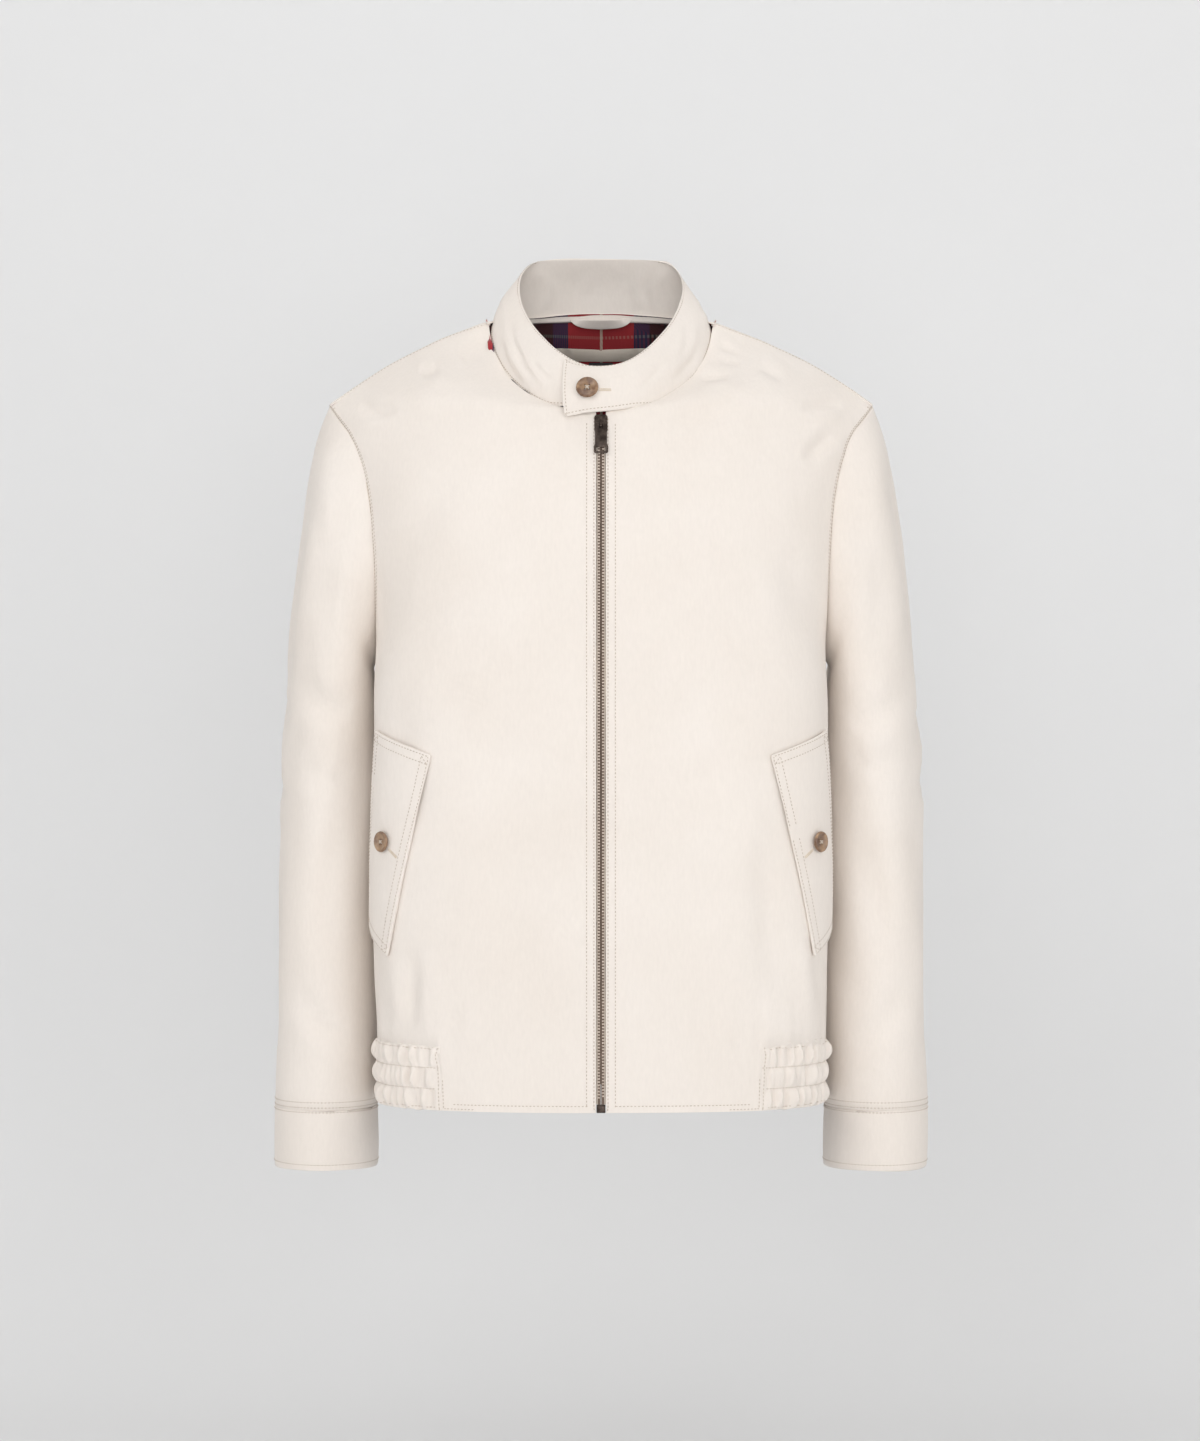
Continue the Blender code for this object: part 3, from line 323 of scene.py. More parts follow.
def takeSkin(node, name, bend=40):
    # the outer side of a thin wall: the largest run of faces that meet at shallow angles
    mesh = mergedNode(node)
    met = set()
    skins = []
    for first in mesh.faces:
        if first in met:
            continue
        met.add(first)
        skin = [first]
        for face in skin:
            for edge in face.edges:
                for other in edge.link_faces:
                    if other not in met and face.normal.angle(other.normal, 4) < math.radians(bend):
                        met.add(other)
                        skin.append(other)
        skins.append(skin)
    widest = set(max(skins, key=lambda skin: sum(face.calc_area() for face in skin)))
    bmesh.ops.delete(mesh, geom=[face for face in mesh.faces if face not in widest], context="FACES")
    bmesh.ops.join_triangles(mesh, faces=mesh.faces, angle_face_threshold=3, angle_shape_threshold=3)
    return meshPiece(name, mesh)


def takeWhole(node, name, firm, seam=()):
    # the whole wall as a closed piece, its turned edges as firm as given and its seam quite firm
    mesh = mergedNode(node)
    tree = treeOf(seam) if seam else None
    bmesh.ops.join_triangles(mesh, faces=mesh.faces, angle_face_threshold=0.9, angle_shape_threshold=3)
    layer = mesh.edges.layers.float.new("crease_edge")
    for edge in mesh.edges:
        if len(edge.link_faces) == 2 and edge.calc_face_angle() > math.radians(50):
            sewnDown = tree and all(tree.find(vertex.co)[2] < 0.0085 for vertex in edge.verts)
            edge[layer] = 1.0 if sewnDown else firm
    return meshPiece(name, mesh)


def soften(piece, levels):
    modifier = piece.modifiers.new("soften", "SUBSURF")
    modifier.levels = levels
    modifier.render_levels = levels
    modifier.boundary_smooth = "PRESERVE_CORNERS"
    applyModifiers(piece)


def pointsOf(piece):
    count = len(piece.data.vertices)
    points = np.empty(count * 3)
    piece.data.vertices.foreach_get("co", points)
    normals = np.empty(count * 3)
    piece.data.vertices.foreach_get("normal", normals)
    return points.reshape(-1, 3), normals.reshape(-1, 3)


def movePoints(piece, points):
    piece.data.vertices.foreach_set("co", points.ravel())
    piece.data.update()


def awayFromNeck(points):
    # both sides of a band move together, out from the neck
    out = points * np.array([1, 1, 0]) + np.array([0, 0.012, 0])
    return out / np.maximum(np.linalg.norm(out, axis=1), 1e-6)[:, None]


def facing(normals, side):
    axis, sign = {"front": (1, -1), "back": (1, 1), "left": (0, 1), "right": (0, -1)}[side]
    return np.clip(normals[:, axis] * sign * 1.8, 0, 1)


def curveThrough(points, count=24):
    # a smooth run through the given points
    points = np.array(points, float)
    if len(points) == 2:
        share = np.linspace(0, 1, count)[:, None]
        return points[0] * (1 - share) + points[1] * share
    run = []
    ends = np.vstack([2 * points[0] - points[1], points, 2 * points[-1] - points[-2]])
    for i in range(1, len(ends) - 2):
        a, b, c, d = ends[i - 1 : i + 3]
        for t in np.linspace(0, 1, max(count // (len(points) - 1), 3), endpoint=i == len(ends) - 3):
            run.append(0.5 * (2 * b + (c - a) * t + (2 * a - 5 * b + 4 * c - d) * t**2
                              + (3 * b - a - 3 * c + d) * t**3))
    return np.array(run)


foldStrength = 1.55


def pressFolds(piece, folds, band=False):
    # soft troughs, and ridges where the depth is below nought, each fading at its ends
    points, normals = pointsOf(piece)
    if band:
        normals = awayFromNeck(points)
    shift = np.zeros(len(points))
    for side, line, width, depth in folds:
        axes = [0, 2] if side in ("front", "back") else [1, 2]
        run = curveThrough(line)
        flat = points[:, axes]
        near = np.full(len(points), 9.0)
        share = np.zeros(len(points))
        for i in range(len(run) - 1):
            a, b = run[i], run[i + 1]
            t = np.clip(((flat - a) @ (b - a)) / max((b - a) @ (b - a), 1e-12), 0, 1)
            gap = np.linalg.norm(flat - (a + t[:, None] * (b - a)), axis=1)
            closer = gap < near
            near = np.where(closer, gap, near)
            share = np.where(closer, (i + t) / (len(run) - 1), share)
        fade = np.sin(np.pi * np.clip(share, 0.001, 0.999)) ** 0.7
        trough = np.exp(-((near / width) ** 2))
        banks = np.exp(-(((near - 1.9 * width) / (1.1 * width)) ** 2))
        shift += foldStrength * depth * (0.42 * banks - trough) * fade * facing(normals, side)
    movePoints(piece, points + normals * shift[:, None])


def loosen(piece, wide, fine):
    # the slight unevenness of cloth that hangs free
    points, normals = pointsOf(piece)
    shift = np.array([
        wide * noise.noise(Vector(p) * 11.0) + fine * noise.noise(Vector((p[0] * 38, p[1] * 38, p[2] * 22)))
        for p in points
    ])
    movePoints(piece, points + normals * shift[:, None])


def thicken(piece, wall, outer, inner):
    piece.data.materials.clear()
    piece.data.materials.append(outer)
    piece.data.materials.append(inner)
    modifier = piece.modifiers.new("wall", "SOLIDIFY")
    modifier.thickness = wall
    modifier.offset = -1
    modifier.material_offset = 1
    modifier.material_offset_rim = 0
    applyModifiers(piece)
    smoothShade(piece, 50)


def seamPointsOf(piece):
    # points close together along the open edge
    mesh = bmesh.new()
    mesh.from_mesh(piece.data)
    points = []
    for edge in mesh.edges:
        if edge.is_boundary:
            a, b = (vertex.co.copy() for vertex in edge.verts)
            points += [a.lerp(b, i / 6) for i in range(6)]
    mesh.free()
    return points


def treeOf(points):
    tree = KDTree(len(points))
    for number, point in enumerate(points):
        tree.insert(point, number)
    tree.balance()
    return tree


def meetEdge(piece, seam, most=0.004, reach=0.016):
    # the open edge is drawn on to its neighbour's, and the cloth beside it follows
    tree = treeOf(seam)
    mesh = bmesh.new()
    mesh.from_mesh(piece.data)
    rim = [vertex for vertex in mesh.verts if vertex.is_boundary]
    moves = []
    for vertex in rim:
        near, _, gap = tree.find(vertex.co)
        moves.append(near - vertex.co if gap < most else Vector())
    rimTree = treeOf([vertex.co.copy() for vertex in rim])
    for vertex in mesh.verts:
        _, number, gap = rimTree.find(vertex.co)
        if gap < reach:
            vertex.co += moves[number] * (1 - gap / reach) ** 2
    mesh.to_mesh(piece.data)
    mesh.free()
    piece.data.update()


def seatBand(piece, seam, lower=0.0052, reach=0.018, clear=(0.030, 0.044)):
    # the foot of the band comes down on to the seam, but for the tab's end in front
    points, _ = pointsOf(piece)
    tree = treeOf(seam)
    near = np.array([tree.find(Vector(point))[2] for point in points])
    share = np.clip(1 - near / reach, 0, 1) ** 0.7
    aside = np.clip((np.abs(points[:, 0]) - clear[0]) / (clear[1] - clear[0]), 0, 1)
    share *= np.where(points[:, 1] < 0, aside, 1)
    movePoints(piece, points - np.array([0, 0, lower]) * share[:, None])


def turnUnder(piece, wanted, tuck=0.0026, drop=0.0016):
    # the seam allowance: the edge turns in and runs on under its neighbour
    mesh = bmesh.new()
    mesh.from_mesh(piece.data)
    mesh.normal_update()
    edges = [e for e in mesh.edges if e.is_boundary and wanted((e.verts[0].co + e.verts[1].co) / 2)]
    ways = {}
    for edge in edges:
        middle = (edge.verts[0].co + edge.verts[1].co) / 2
        along = (edge.verts[1].co - edge.verts[0].co).normalized()
        into = edge.link_faces[0].calc_center_median() - middle
        into = (into - along * into.dot(along)).normalized()
        for vertex in edge.verts:
            ways.setdefault(vertex, [Vector(), vertex.normal.copy()])[0] += into
    spots = {vertex.index: (way.normalized(), out) for vertex, (way, out) in ways.items()}
    keyed = {tuple(vertex.co): spots[vertex.index] for vertex in ways}
    ring = edges
    for across, down in ((0.25, 0.45), (0.75, 0.55)):
        made = bmesh.ops.extrude_edge_only(mesh, edges=ring)["geom"]
        ring = [item for item in made if isinstance(item, bmesh.types.BMEdge)]
        moved = {}
        for item in made:
            if isinstance(item, bmesh.types.BMVert):
                into, out = keyed[tuple(item.co)]
                item.co -= into * tuck * across + out * drop * down
                moved[tuple(item.co)] = (into, out)
        keyed = moved
        for item in made:
            if isinstance(item, bmesh.types.BMFace):
                item.normal_update()
                outs = [moved[tuple(vertex.co)][1] for vertex in item.verts if tuple(vertex.co) in moved]
                if item.normal.dot(outs[0]) < 0:
                    item.normal_flip()
    mesh.to_mesh(piece.data)
    mesh.free()
    piece.data.update()


def smoothShade(piece, angle=40):
    pickOne(piece)
    bpy.ops.object.shade_smooth_by_angle(angle=math.radians(angle))


# Edges and stitching

def rimRuns(piece, wanted):
    # the open edge as runs of (place, direction into the cloth)
    mesh = bmesh.new()
    mesh.from_mesh(piece.data)
    left = {edge for edge in mesh.edges if edge.is_boundary}
    runs = []
    while left:
        first = min(left, key=lambda edge: edge.index)
        left.discard(first)
        chain = [(first, first.verts[1])]
        for forwards in (True, False):
            here = first.verts[1] if forwards else first.verts[0]
            while True:
                step = next((edge for edge in here.link_edges if edge in left), None)
                if step is None:
                    break
                left.discard(step)
                here = step.other_vert(here)
                chain.append((step, here)) if forwards else chain.insert(0, (step, here))
        run = []
        for edge, _ in chain:
            middle = (edge.verts[0].co + edge.verts[1].co) / 2
            along = (edge.verts[1].co - edge.verts[0].co).normalized()
            into = edge.link_faces[0].calc_center_median() - middle
            into = (into - along * into.dot(along)).normalized()
            run.append((middle.copy(), into))
        flags = [wanted(place) for place, _ in run]
        if not any(flags):
            continue
        if all(flags):
            runs.append(run + run[:1])
            continue
        start = flags.index(False)
        run = run[start:] + run[:start]
        part = []
        for place, into in run:
            if wanted(place):
                part.append((place, into))
            elif part:
                runs.append(part)
                part = []
        if part:
            runs.append(part)
    mesh.free()
    return [run for run in runs if len(run) > 3]


def insetLine(run, inset, trim=0):
    line = [place + into * inset for place, into in run]
    return line[trim : len(line) - trim] if trim else line


def evenly(line, step):
    line = [Vector(p) for p in line]
    lengths = [0.0]
    for a, b in zip(line, line[1:]):
        lengths.append(lengths[-1] + (b - a).length)
    count = max(int(lengths[-1] / step), 1)
    out = []
    i = 0
    for k in range(count + 1):
        goal = lengths[-1] * k / count
        while i < len(line) - 2 and lengths[i + 1] < goal:
            i += 1
        span = max(lengths[i + 1] - lengths[i], 1e-9)
        out.append(line[i].lerp(line[i + 1], (goal - lengths[i]) / span))
    return out


stitchSize = {"pitch": 0.0031, "share": 0.70, "half": 0.00034, "proud": 0.00022}


def addStitch(mesh, a, b, out, half, proud):
    along = (b - a).normalized()
    across = along.cross(out).normalized() * half
    rise = out * proud
    ends = [mesh.verts.new(a - out * half), mesh.verts.new(b - out * half)]
    rings = []
    for t in (0.22, 0.78):
        middle = a.lerp(b, t) + rise
        rings.append([mesh.verts.new(middle + way) for way in (across, out * half * 0.8, -across, -out * half)])
    for i in range(4):
        j = (i + 1) % 4
        mesh.faces.new((ends[0], rings[0][j], rings[0][i]))
        mesh.faces.new((rings[0][i], rings[0][j], rings[1][j], rings[1][i]))
        mesh.faces.new((ends[1], rings[1][i], rings[1][j]))


def sewLines(name, lines, piece, size=stitchSize):
    surface = BVHTree.FromObject(piece, bpy.context.evaluated_depsgraph_get())
    mesh = bmesh.new()
    for line in lines:
        spots = []
        for spot in evenly(line, size["pitch"]):
            place, out, _, _ = surface.find_nearest(spot)
            spots.append((place, out))
        for (a, out), (b, _) in zip(spots, spots[1:]):
            if (b - a).length > 1e-4:
                addStitch(mesh, a, a.lerp(b, size["share"]), out, size["half"], size["proud"])
    bmesh.ops.recalc_face_normals(mesh, faces=mesh.faces)
    sewn = meshPiece(name, mesh)
    sewn.data.materials.append(sewingThread)
    smoothShade(sewn, 60)
    keep(sewn, "jacket")
    return sewn


# Fronts and back

bodySettings = {
    "levels": 3, "wall": 0.0011, "wide": 0.0017, "fine": 0.0007,
    "frontFlat": (0.262, 0.690), "frontArea": 0.160, "backFlat": (0.560, 0.700), "backArea": 0.322,
    "nearStitch": 0.0017, "farStitch": 0.0078,
}
rightFolds = [
    ("front", [(-0.158, -0.519), (-0.160, -0.560), (-0.163, -0.589)], 0.0075, 0.0030),
    ("front", [(-0.184, -0.566), (-0.176, -0.578), (-0.168, -0.587)], 0.0040, 0.0020),
    ("front", [(-0.112, -0.571), (-0.121, -0.580), (-0.132, -0.588)], 0.0040, 0.0018),
    ("front", [(-0.154, -0.577), (-0.147, -0.594)], 0.0030, 0.0012),
    ("front", [(-0.119, -0.020), (-0.092, 0.004)], 0.0110, 0.0022),
    ("front", [(-0.139, -0.024), (-0.151, -0.036)], 0.0060, 0.0018),
    ("front", [(-0.207, -0.059), (-0.190, -0.065), (-0.174, -0.063)], 0.0060, 0.0018),
    ("front", [(-0.172, -0.300), (-0.165, -0.360), (-0.166, -0.420)], 0.0150, 0.0018),
    ("front", [(-0.120, -0.130), (-0.150, -0.160), (-0.178, -0.200)], 0.0160, 0.0016),
    ("front", [(-0.060, -0.300), (-0.070, -0.430), (-0.066, -0.560)], 0.0240, 0.0014),
]
leftFolds = [
    ("front", [(0.132, -0.428), (0.142, -0.500), (0.149, -0.569)], 0.0120, 0.0026),
    ("front", [(0.163, -0.521), (0.170, -0.534), (0.180, -0.582)], 0.0060, -0.0024),
    ("front", [(0.107, -0.593), (0.119, -0.602)], 0.0030, 0.0014),
    ("front", [(0.084, -0.039), (0.096, -0.037), (0.109, -0.036)], 0.0040, 0.0020),
    ("front", [(0.103, -0.021), (0.119, -0.022)], 0.0035, 0.0016),
    ("front", [(0.101, -0.005), (0.119, -0.016)], 0.0035, 0.0014),
    ("front", [(0.059, -0.080), (0.095, -0.066), (0.126, -0.055)], 0.0085, 0.0022),
    ("front", [(0.135, -0.024), (0.155, -0.037)], 0.0050, 0.0016),
    ("front", [(0.171, -0.062), (0.190, -0.058), (0.206, -0.056)], 0.0055, 0.0018),
    ("front", [(0.171, -0.107), (0.186, -0.095), (0.200, -0.084)], 0.0065, 0.0020),
    ("front", [(0.150, -0.180), (0.166, -0.215), (0.176, -0.260)], 0.0140, 0.0018),
    ("front", [(0.070, -0.300), (0.078, -0.420), (0.072, -0.560)], 0.0240, 0.0014),
]
backFolds = [
    ("back", [(-0.170, -0.110), (-0.120, -0.095), (-0.060, -0.100)], 0.0120, 0.0022),
    ("back", [(0.176, -0.118), (0.130, -0.098), (0.070, -0.108)], 0.0110, 0.0020),
    ("back", [(-0.160, -0.230), (-0.120, -0.300), (-0.105, -0.400)], 0.0170, 0.0026),
    ("back", [(0.165, -0.240), (0.128, -0.320), (0.112, -0.430)], 0.0160, 0.0024),
    ("back", [(-0.030, -0.380), (-0.036, -0.480), (-0.028, -0.590)], 0.0180, 0.0022),
    ("back", [(0.046, -0.420), (0.040, -0.520), (0.050, -0.610)], 0.0150, 0.0020),
    ("back", [(-0.098, -0.500), (-0.110, -0.560), (-0.122, -0.600)], 0.0090, 0.0024),
    ("back", [(0.100, -0.490), (0.118, -0.550), (0.128, -0.600)], 0.0080, 0.0022),
    ("back", [(-0.150, -0.530), (-0.158, -0.590)], 0.0060, 0.0018),
    ("back", [(0.154, -0.540), (0.160, -0.592)], 0.0060, 0.0018),
    ("back", [(-0.020, 0.005), (0.030, -0.004), (0.080, 0.000)], 0.0090, 0.0014),
]
gatherAbove = {"top": -0.590, "reach": 0.046, "ripple": 0.0085, "depth": 0.0024}


def angleRound(points):
    # the turn round the body's middle, from the front
    return np.arctan2(points[:, 0], -(points[:, 1] + 0.012))


def gatherOver(piece, low=0.86, high=2.20):
    # ripples that run up from the elastic and die out
    points, normals = pointsOf(piece)
    turn = np.abs(angleRound(points))
    over = np.clip((points[:, 2] - gatherAbove["top"]) / gatherAbove["reach"], 0, 1)
    fade = np.where(points[:, 2] < gatherAbove["top"] + gatherAbove["reach"], (1 - over) ** 1.6, 0)
    fade *= np.clip((turn - low) / 0.12, 0, 1) * np.clip((high - turn) / 0.12, 0, 1)
    shift = np.zeros(len(points))
    for i in np.nonzero(fade > 0.001)[0]:
        along = angleRound(points[i : i + 1])[0] * 0.16
        wave = noise.noise(Vector((along / gatherAbove["ripple"], points[i, 2] * 9, 3.1)))
        shift[i] = gatherAbove["depth"] * wave * fade[i]
    movePoints(piece, points + normals * shift[:, None])


def nearArmhole(place):
    return abs(place.x) > 0.186 and -0.262 < place.z < -0.052 and abs(place.y + 0.01) < 0.075


skins = {}
seams = {}
for node, folds in (("back", backFolds), ("front_left", leftFolds), ("front_right", rightFolds)):
    name = {"front_left": "frontLeft", "front_right": "frontRight", "back": "backPanel"}[node]
    piece = takeSkin(node, name)
    soften(piece, bodySettings["levels"])
    pressFolds(piece, folds)
    gatherOver(piece)
    loosen(piece, bodySettings["wide"], bodySettings["fine"])
    if node != "back":
        meetEdge(piece, seams["back"], 0.003)
    skins[node] = piece
    seams[node] = seamPointsOf(piece)
    print("panel", name, len(piece.data.polygons))


def panelLines(piece, node):
    near, far = bodySettings["nearStitch"], bodySettings["farStitch"]
    lines = []
    for run in rimRuns(piece, nearArmhole):
        lines += [insetLine(run, near, 1), insetLine(run, far, 2)]
    if node != "back":
        for run in rimRuns(piece, lambda p: abs(p.x) < 0.0075 and p.z < -0.074):
            lines += [insetLine(run, near), insetLine(run, far, 2)]
        for run in rimRuns(piece, lambda p: p.z < -0.640 and abs(p.x) < 0.128 and abs(p.x) > 0.006):
            lines += [insetLine(run, 0.0055, 1)]
        for run in rimRuns(piece, lambda p: p.z < -0.590 and 0.100 < abs(p.x) < 0.1345):
            lines += [insetLine(run, near, 2)]
        for run in rimRuns(piece, lambda p: p.z > -0.050 and abs(p.x) > 0.100 and p.y > -0.032):
            lines += [insetLine(run, near, 1)]
    else:
        for run in rimRuns(piece, lambda p: p.z < -0.640):
            lines += [insetLine(run, 0.0055, 2)]
        for run in rimRuns(piece, lambda p: p.z > 0.0 and abs(p.x) < 0.094):
            lines += [insetLine(run, near, 1)]
    return lines


def panelSeam(place):
    # every edge but the hem's and the zip's
    return not (place.z < -0.640 or (abs(place.x) < 0.0065 and place.y < 0 and place.z < -0.06))


def atNeck(place):
    return abs(place.x) < 0.100 and place.z > (-0.068 if place.y < -0.02 else -0.020)


for node, flat, area in (
    ("front_left", "frontFlat", "frontArea"),
    ("front_right", "frontFlat", "frontArea"),
    ("back", "backFlat", "backArea"),
):
    piece = skins[node]
    lines = panelLines(piece, node)
    sewLines(piece.name + "Stitching", lines, piece)
    turnUnder(piece, lambda place: panelSeam(place) and not atNeck(place))
    turnUnder(piece, atNeck, 0.0040, 0.0008)
    thicken(piece, bodySettings["wall"], cotton, tartan)
    keep(piece, "jacket", [node])
print("fronts and back done")


# Sleeves

sleeveSettings = {
    "levels": 3, "wall": 0.0011, "flat": (0.370, 0.620), "area": 0.176,
    "wide": 0.0016, "fine": 0.0008,
}
sleeveFolds = [
    ("front", [(0.222, -0.150), (0.236, -0.205), (0.238, -0.270)], 0.0130, 0.0022),
    ("front", [(0.262, -0.300), (0.240, -0.322), (0.214, -0.330)], 0.0100, 0.0024),
    ("front", [(0.260, -0.352), (0.238, -0.366), (0.212, -0.362)], 0.0090, 0.0020),
    ("front", [(0.218, -0.420), (0.236, -0.470), (0.240, -0.540)], 0.0130, 0.0022),
    ("front", [(0.262, -0.560), (0.240, -0.590), (0.216, -0.604)], 0.0090, 0.0020),
    ("left", [(-0.010, -0.110), (0.004, -0.200), (0.010, -0.290)], 0.0160, 0.0022),
    ("left", [(0.040, -0.300), (0.020, -0.330), (-0.010, -0.338)], 0.0100, 0.0026),
    ("left", [(0.050, -0.350), (0.028, -0.380), (-0.004, -0.392)], 0.0090, 0.0022),
    ("left", [(0.012, -0.470), (0.020, -0.540), (0.016, -0.610)], 0.0140, 0.0022),
    ("back", [(0.210, -0.180), (0.226, -0.240), (0.224, -0.300)], 0.0140, 0.0024),
    ("back", [(0.258, -0.330), (0.234, -0.350), (0.208, -0.352)], 0.0100, 0.0028),
    ("back", [(0.256, -0.400), (0.232, -0.412), (0.210, -0.404)], 0.0090, 0.0022),
    ("back", [(0.222, -0.480), (0.232, -0.560), (0.228, -0.620)], 0.0130, 0.0022),
]


def mirrorFolds(folds):
    swap = {"front": "front", "back": "back", "left": "right"}
    out = []
    for number, (side, line, width, depth) in enumerate(folds):
        drop = 0.012 * math.sin(number * 2.3)
        if side != "left":
            line = [(-a, b + drop) for a, b in line]
        else:
            line = [(a, b + drop) for a, b in line]
        out.append((swap[side], line, width * (1 + 0.12 * math.cos(number)), depth * (1 + 0.25 * math.sin(number * 1.7))))
    return out


for node, name, folds in (
    ("sleeve_left", "sleeveLeft", sleeveFolds), ("sleeve_right", "sleeveRight", mirrorFolds(sleeveFolds)),
):
    piece = takeSkin(node, name, 58)
    soften(piece, sleeveSettings["levels"])
    pressFolds(piece, folds)
    loosen(piece, sleeveSettings["wide"], sleeveSettings["fine"])
    meetEdge(piece, seams["back"] + seams[node.replace("sleeve", "front")], 0.007, 0.030)
    seams[node] = seamPointsOf(piece)
    lines = []
    for run in rimRuns(piece, lambda p: p.z < -0.640):
        lines += [insetLine(run, 0.0017), insetLine(run, 0.0062)]
    sewLines(name + "Stitching", lines, piece)
    turnUnder(piece, lambda place: True)
    thicken(piece, sleeveSettings["wall"], cotton, cottonInner)
    keep(piece, "jacket", [node])
print("sleeves done")


# Cuffs, collar and pocket flaps keep their whole wall, with softly turned edges

collarFolds = [
    ("front", [(-0.077, 0.016), (-0.076, -0.004), (-0.066, -0.024)], 0.0030, 0.0016),
    ("front", [(-0.086, 0.000), (-0.081, -0.022), (-0.067, -0.044)], 0.0034, 0.0015),
    ("front", [(-0.074, -0.012), (-0.064, -0.030), (-0.052, -0.046)], 0.0030, 0.0012),
    ("front", [(-0.060, -0.022), (-0.050, -0.036), (-0.038, -0.046)], 0.0028, 0.0010),
    ("front", [(0.073, 0.014), (0.074, -0.006), (0.066, -0.026)], 0.0032, 0.0014),
    ("front", [(0.085, -0.002), (0.076, -0.024), (0.060, -0.044)], 0.0036, 0.0014),
    ("front", [(0.058, -0.020), (0.046, -0.036), (0.032, -0.050)], 0.0030, 0.0009),
    ("back", [(0.034, 0.068), (0.031, 0.052), (0.036, 0.034)], 0.0034, 0.0014),
    ("back", [(0.052, 0.066), (0.046, 0.050), (0.048, 0.032)], 0.0030, 0.0013),
    ("back", [(-0.050, 0.064), (-0.046, 0.048), (-0.050, 0.032)], 0.0032, 0.0012),
    ("back", [(-0.010, 0.066), (-0.014, 0.050), (-0.008, 0.034)], 0.0040, 0.0007),
]
bandSettings = {
    "cuff": {"levels": 3, "firm": 0.35, "flat": (0.310, 0.055), "stitch": (0.0017, 0.0055)},
    "collar": {"levels": 3, "firm": 0.30, "flat": (0.500, 0.056), "stitch": (0.0030,), "folds": collarFolds},
    "flap": {"levels": 3, "firm": 0.45, "flat": (0.078, 0.176), "stitch": (0.0018, 0.0085)},
}


def bandPiece(node, name, kind, wanted):
    choice = bandSettings[kind]
    guide = takeSkin(node, name + "Guide")
    soften(guide, 2)
    beside = {"cuff": "sleeve_", "collar": "", "flap": ""}[kind]
    if kind == "collar":
        seam = seams["front_left"] + seams["front_right"] + seams["back"]
    else:
        seam = seams[beside + node.split("_")[-1]] if beside else ()
    piece = takeWhole(node, name, choice["firm"], seam)
    soften(piece, choice["levels"])
    if kind == "collar":
        seatBand(piece, seam)
        seatBand(guide, seam)
    for cloth in (piece, guide):
        pressFolds(cloth, choice.get("folds", []), True)
        loosen(cloth, 0.0016, 0.0006)
    lines = []
    for inset in choice["stitch"]:
        for run in rimRuns(guide, wanted(inset)):
            lines.append(insetLine(run, inset, 1 if kind == "flap" else 0))
    bpy.data.objects.remove(guide)
    piece.data.materials.append(cotton)
    smoothShade(piece, 70)
    sewLines(name + "Stitching", lines, piece)
    keep(piece, "jacket", [node])
    return piece


for side in ("left", "right"):
    for kind, node, label in (("cuff", "cuff_" + side, "cuff"), ("flap", "pocket_flap_" + side, "pocketFlap")):
        middle = sum(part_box(node)[i][2] for i in (0, 1)) / 2
        if kind == "cuff":
            wanted = lambda inset: (lambda p: (p.z > middle) == (inset < 0.003))
        else:
            wanted = lambda inset: (lambda p: True)
        bandPiece(node, label + side.capitalize(), kind, wanted)
bandPiece("collar", "collarBand", "collar", lambda inset: (lambda p: True))
print("cuffs, flaps and collar done")


# Elastic waist sides

elasticSettings = {
    "levels": 4, "wall": 0.0012, "flat": (0.300, 0.056), "channels": 3,
    "ripple": 0.0044, "depth": 0.0078, "puff": 0.0007,
}


def channelShare(points):
    # how far up the band each point lies, from 0 at the hem to 1 at its seam
    turn = angleRound(points)
    bins = np.floor(turn / 0.03).astype(int)
    low, high = {}, {}
    for number, z in zip(bins, points[:, 2]):
        low[number] = min(low.get(number, 9), z)
        high[number] = max(high.get(number, -9), z)
    lowest = np.array([low[number] for number in bins])
    highest = np.array([high[number] for number in bins])
    return np.clip((points[:, 2] - lowest) / np.maximum(highest - lowest, 0.02), 0, 1)


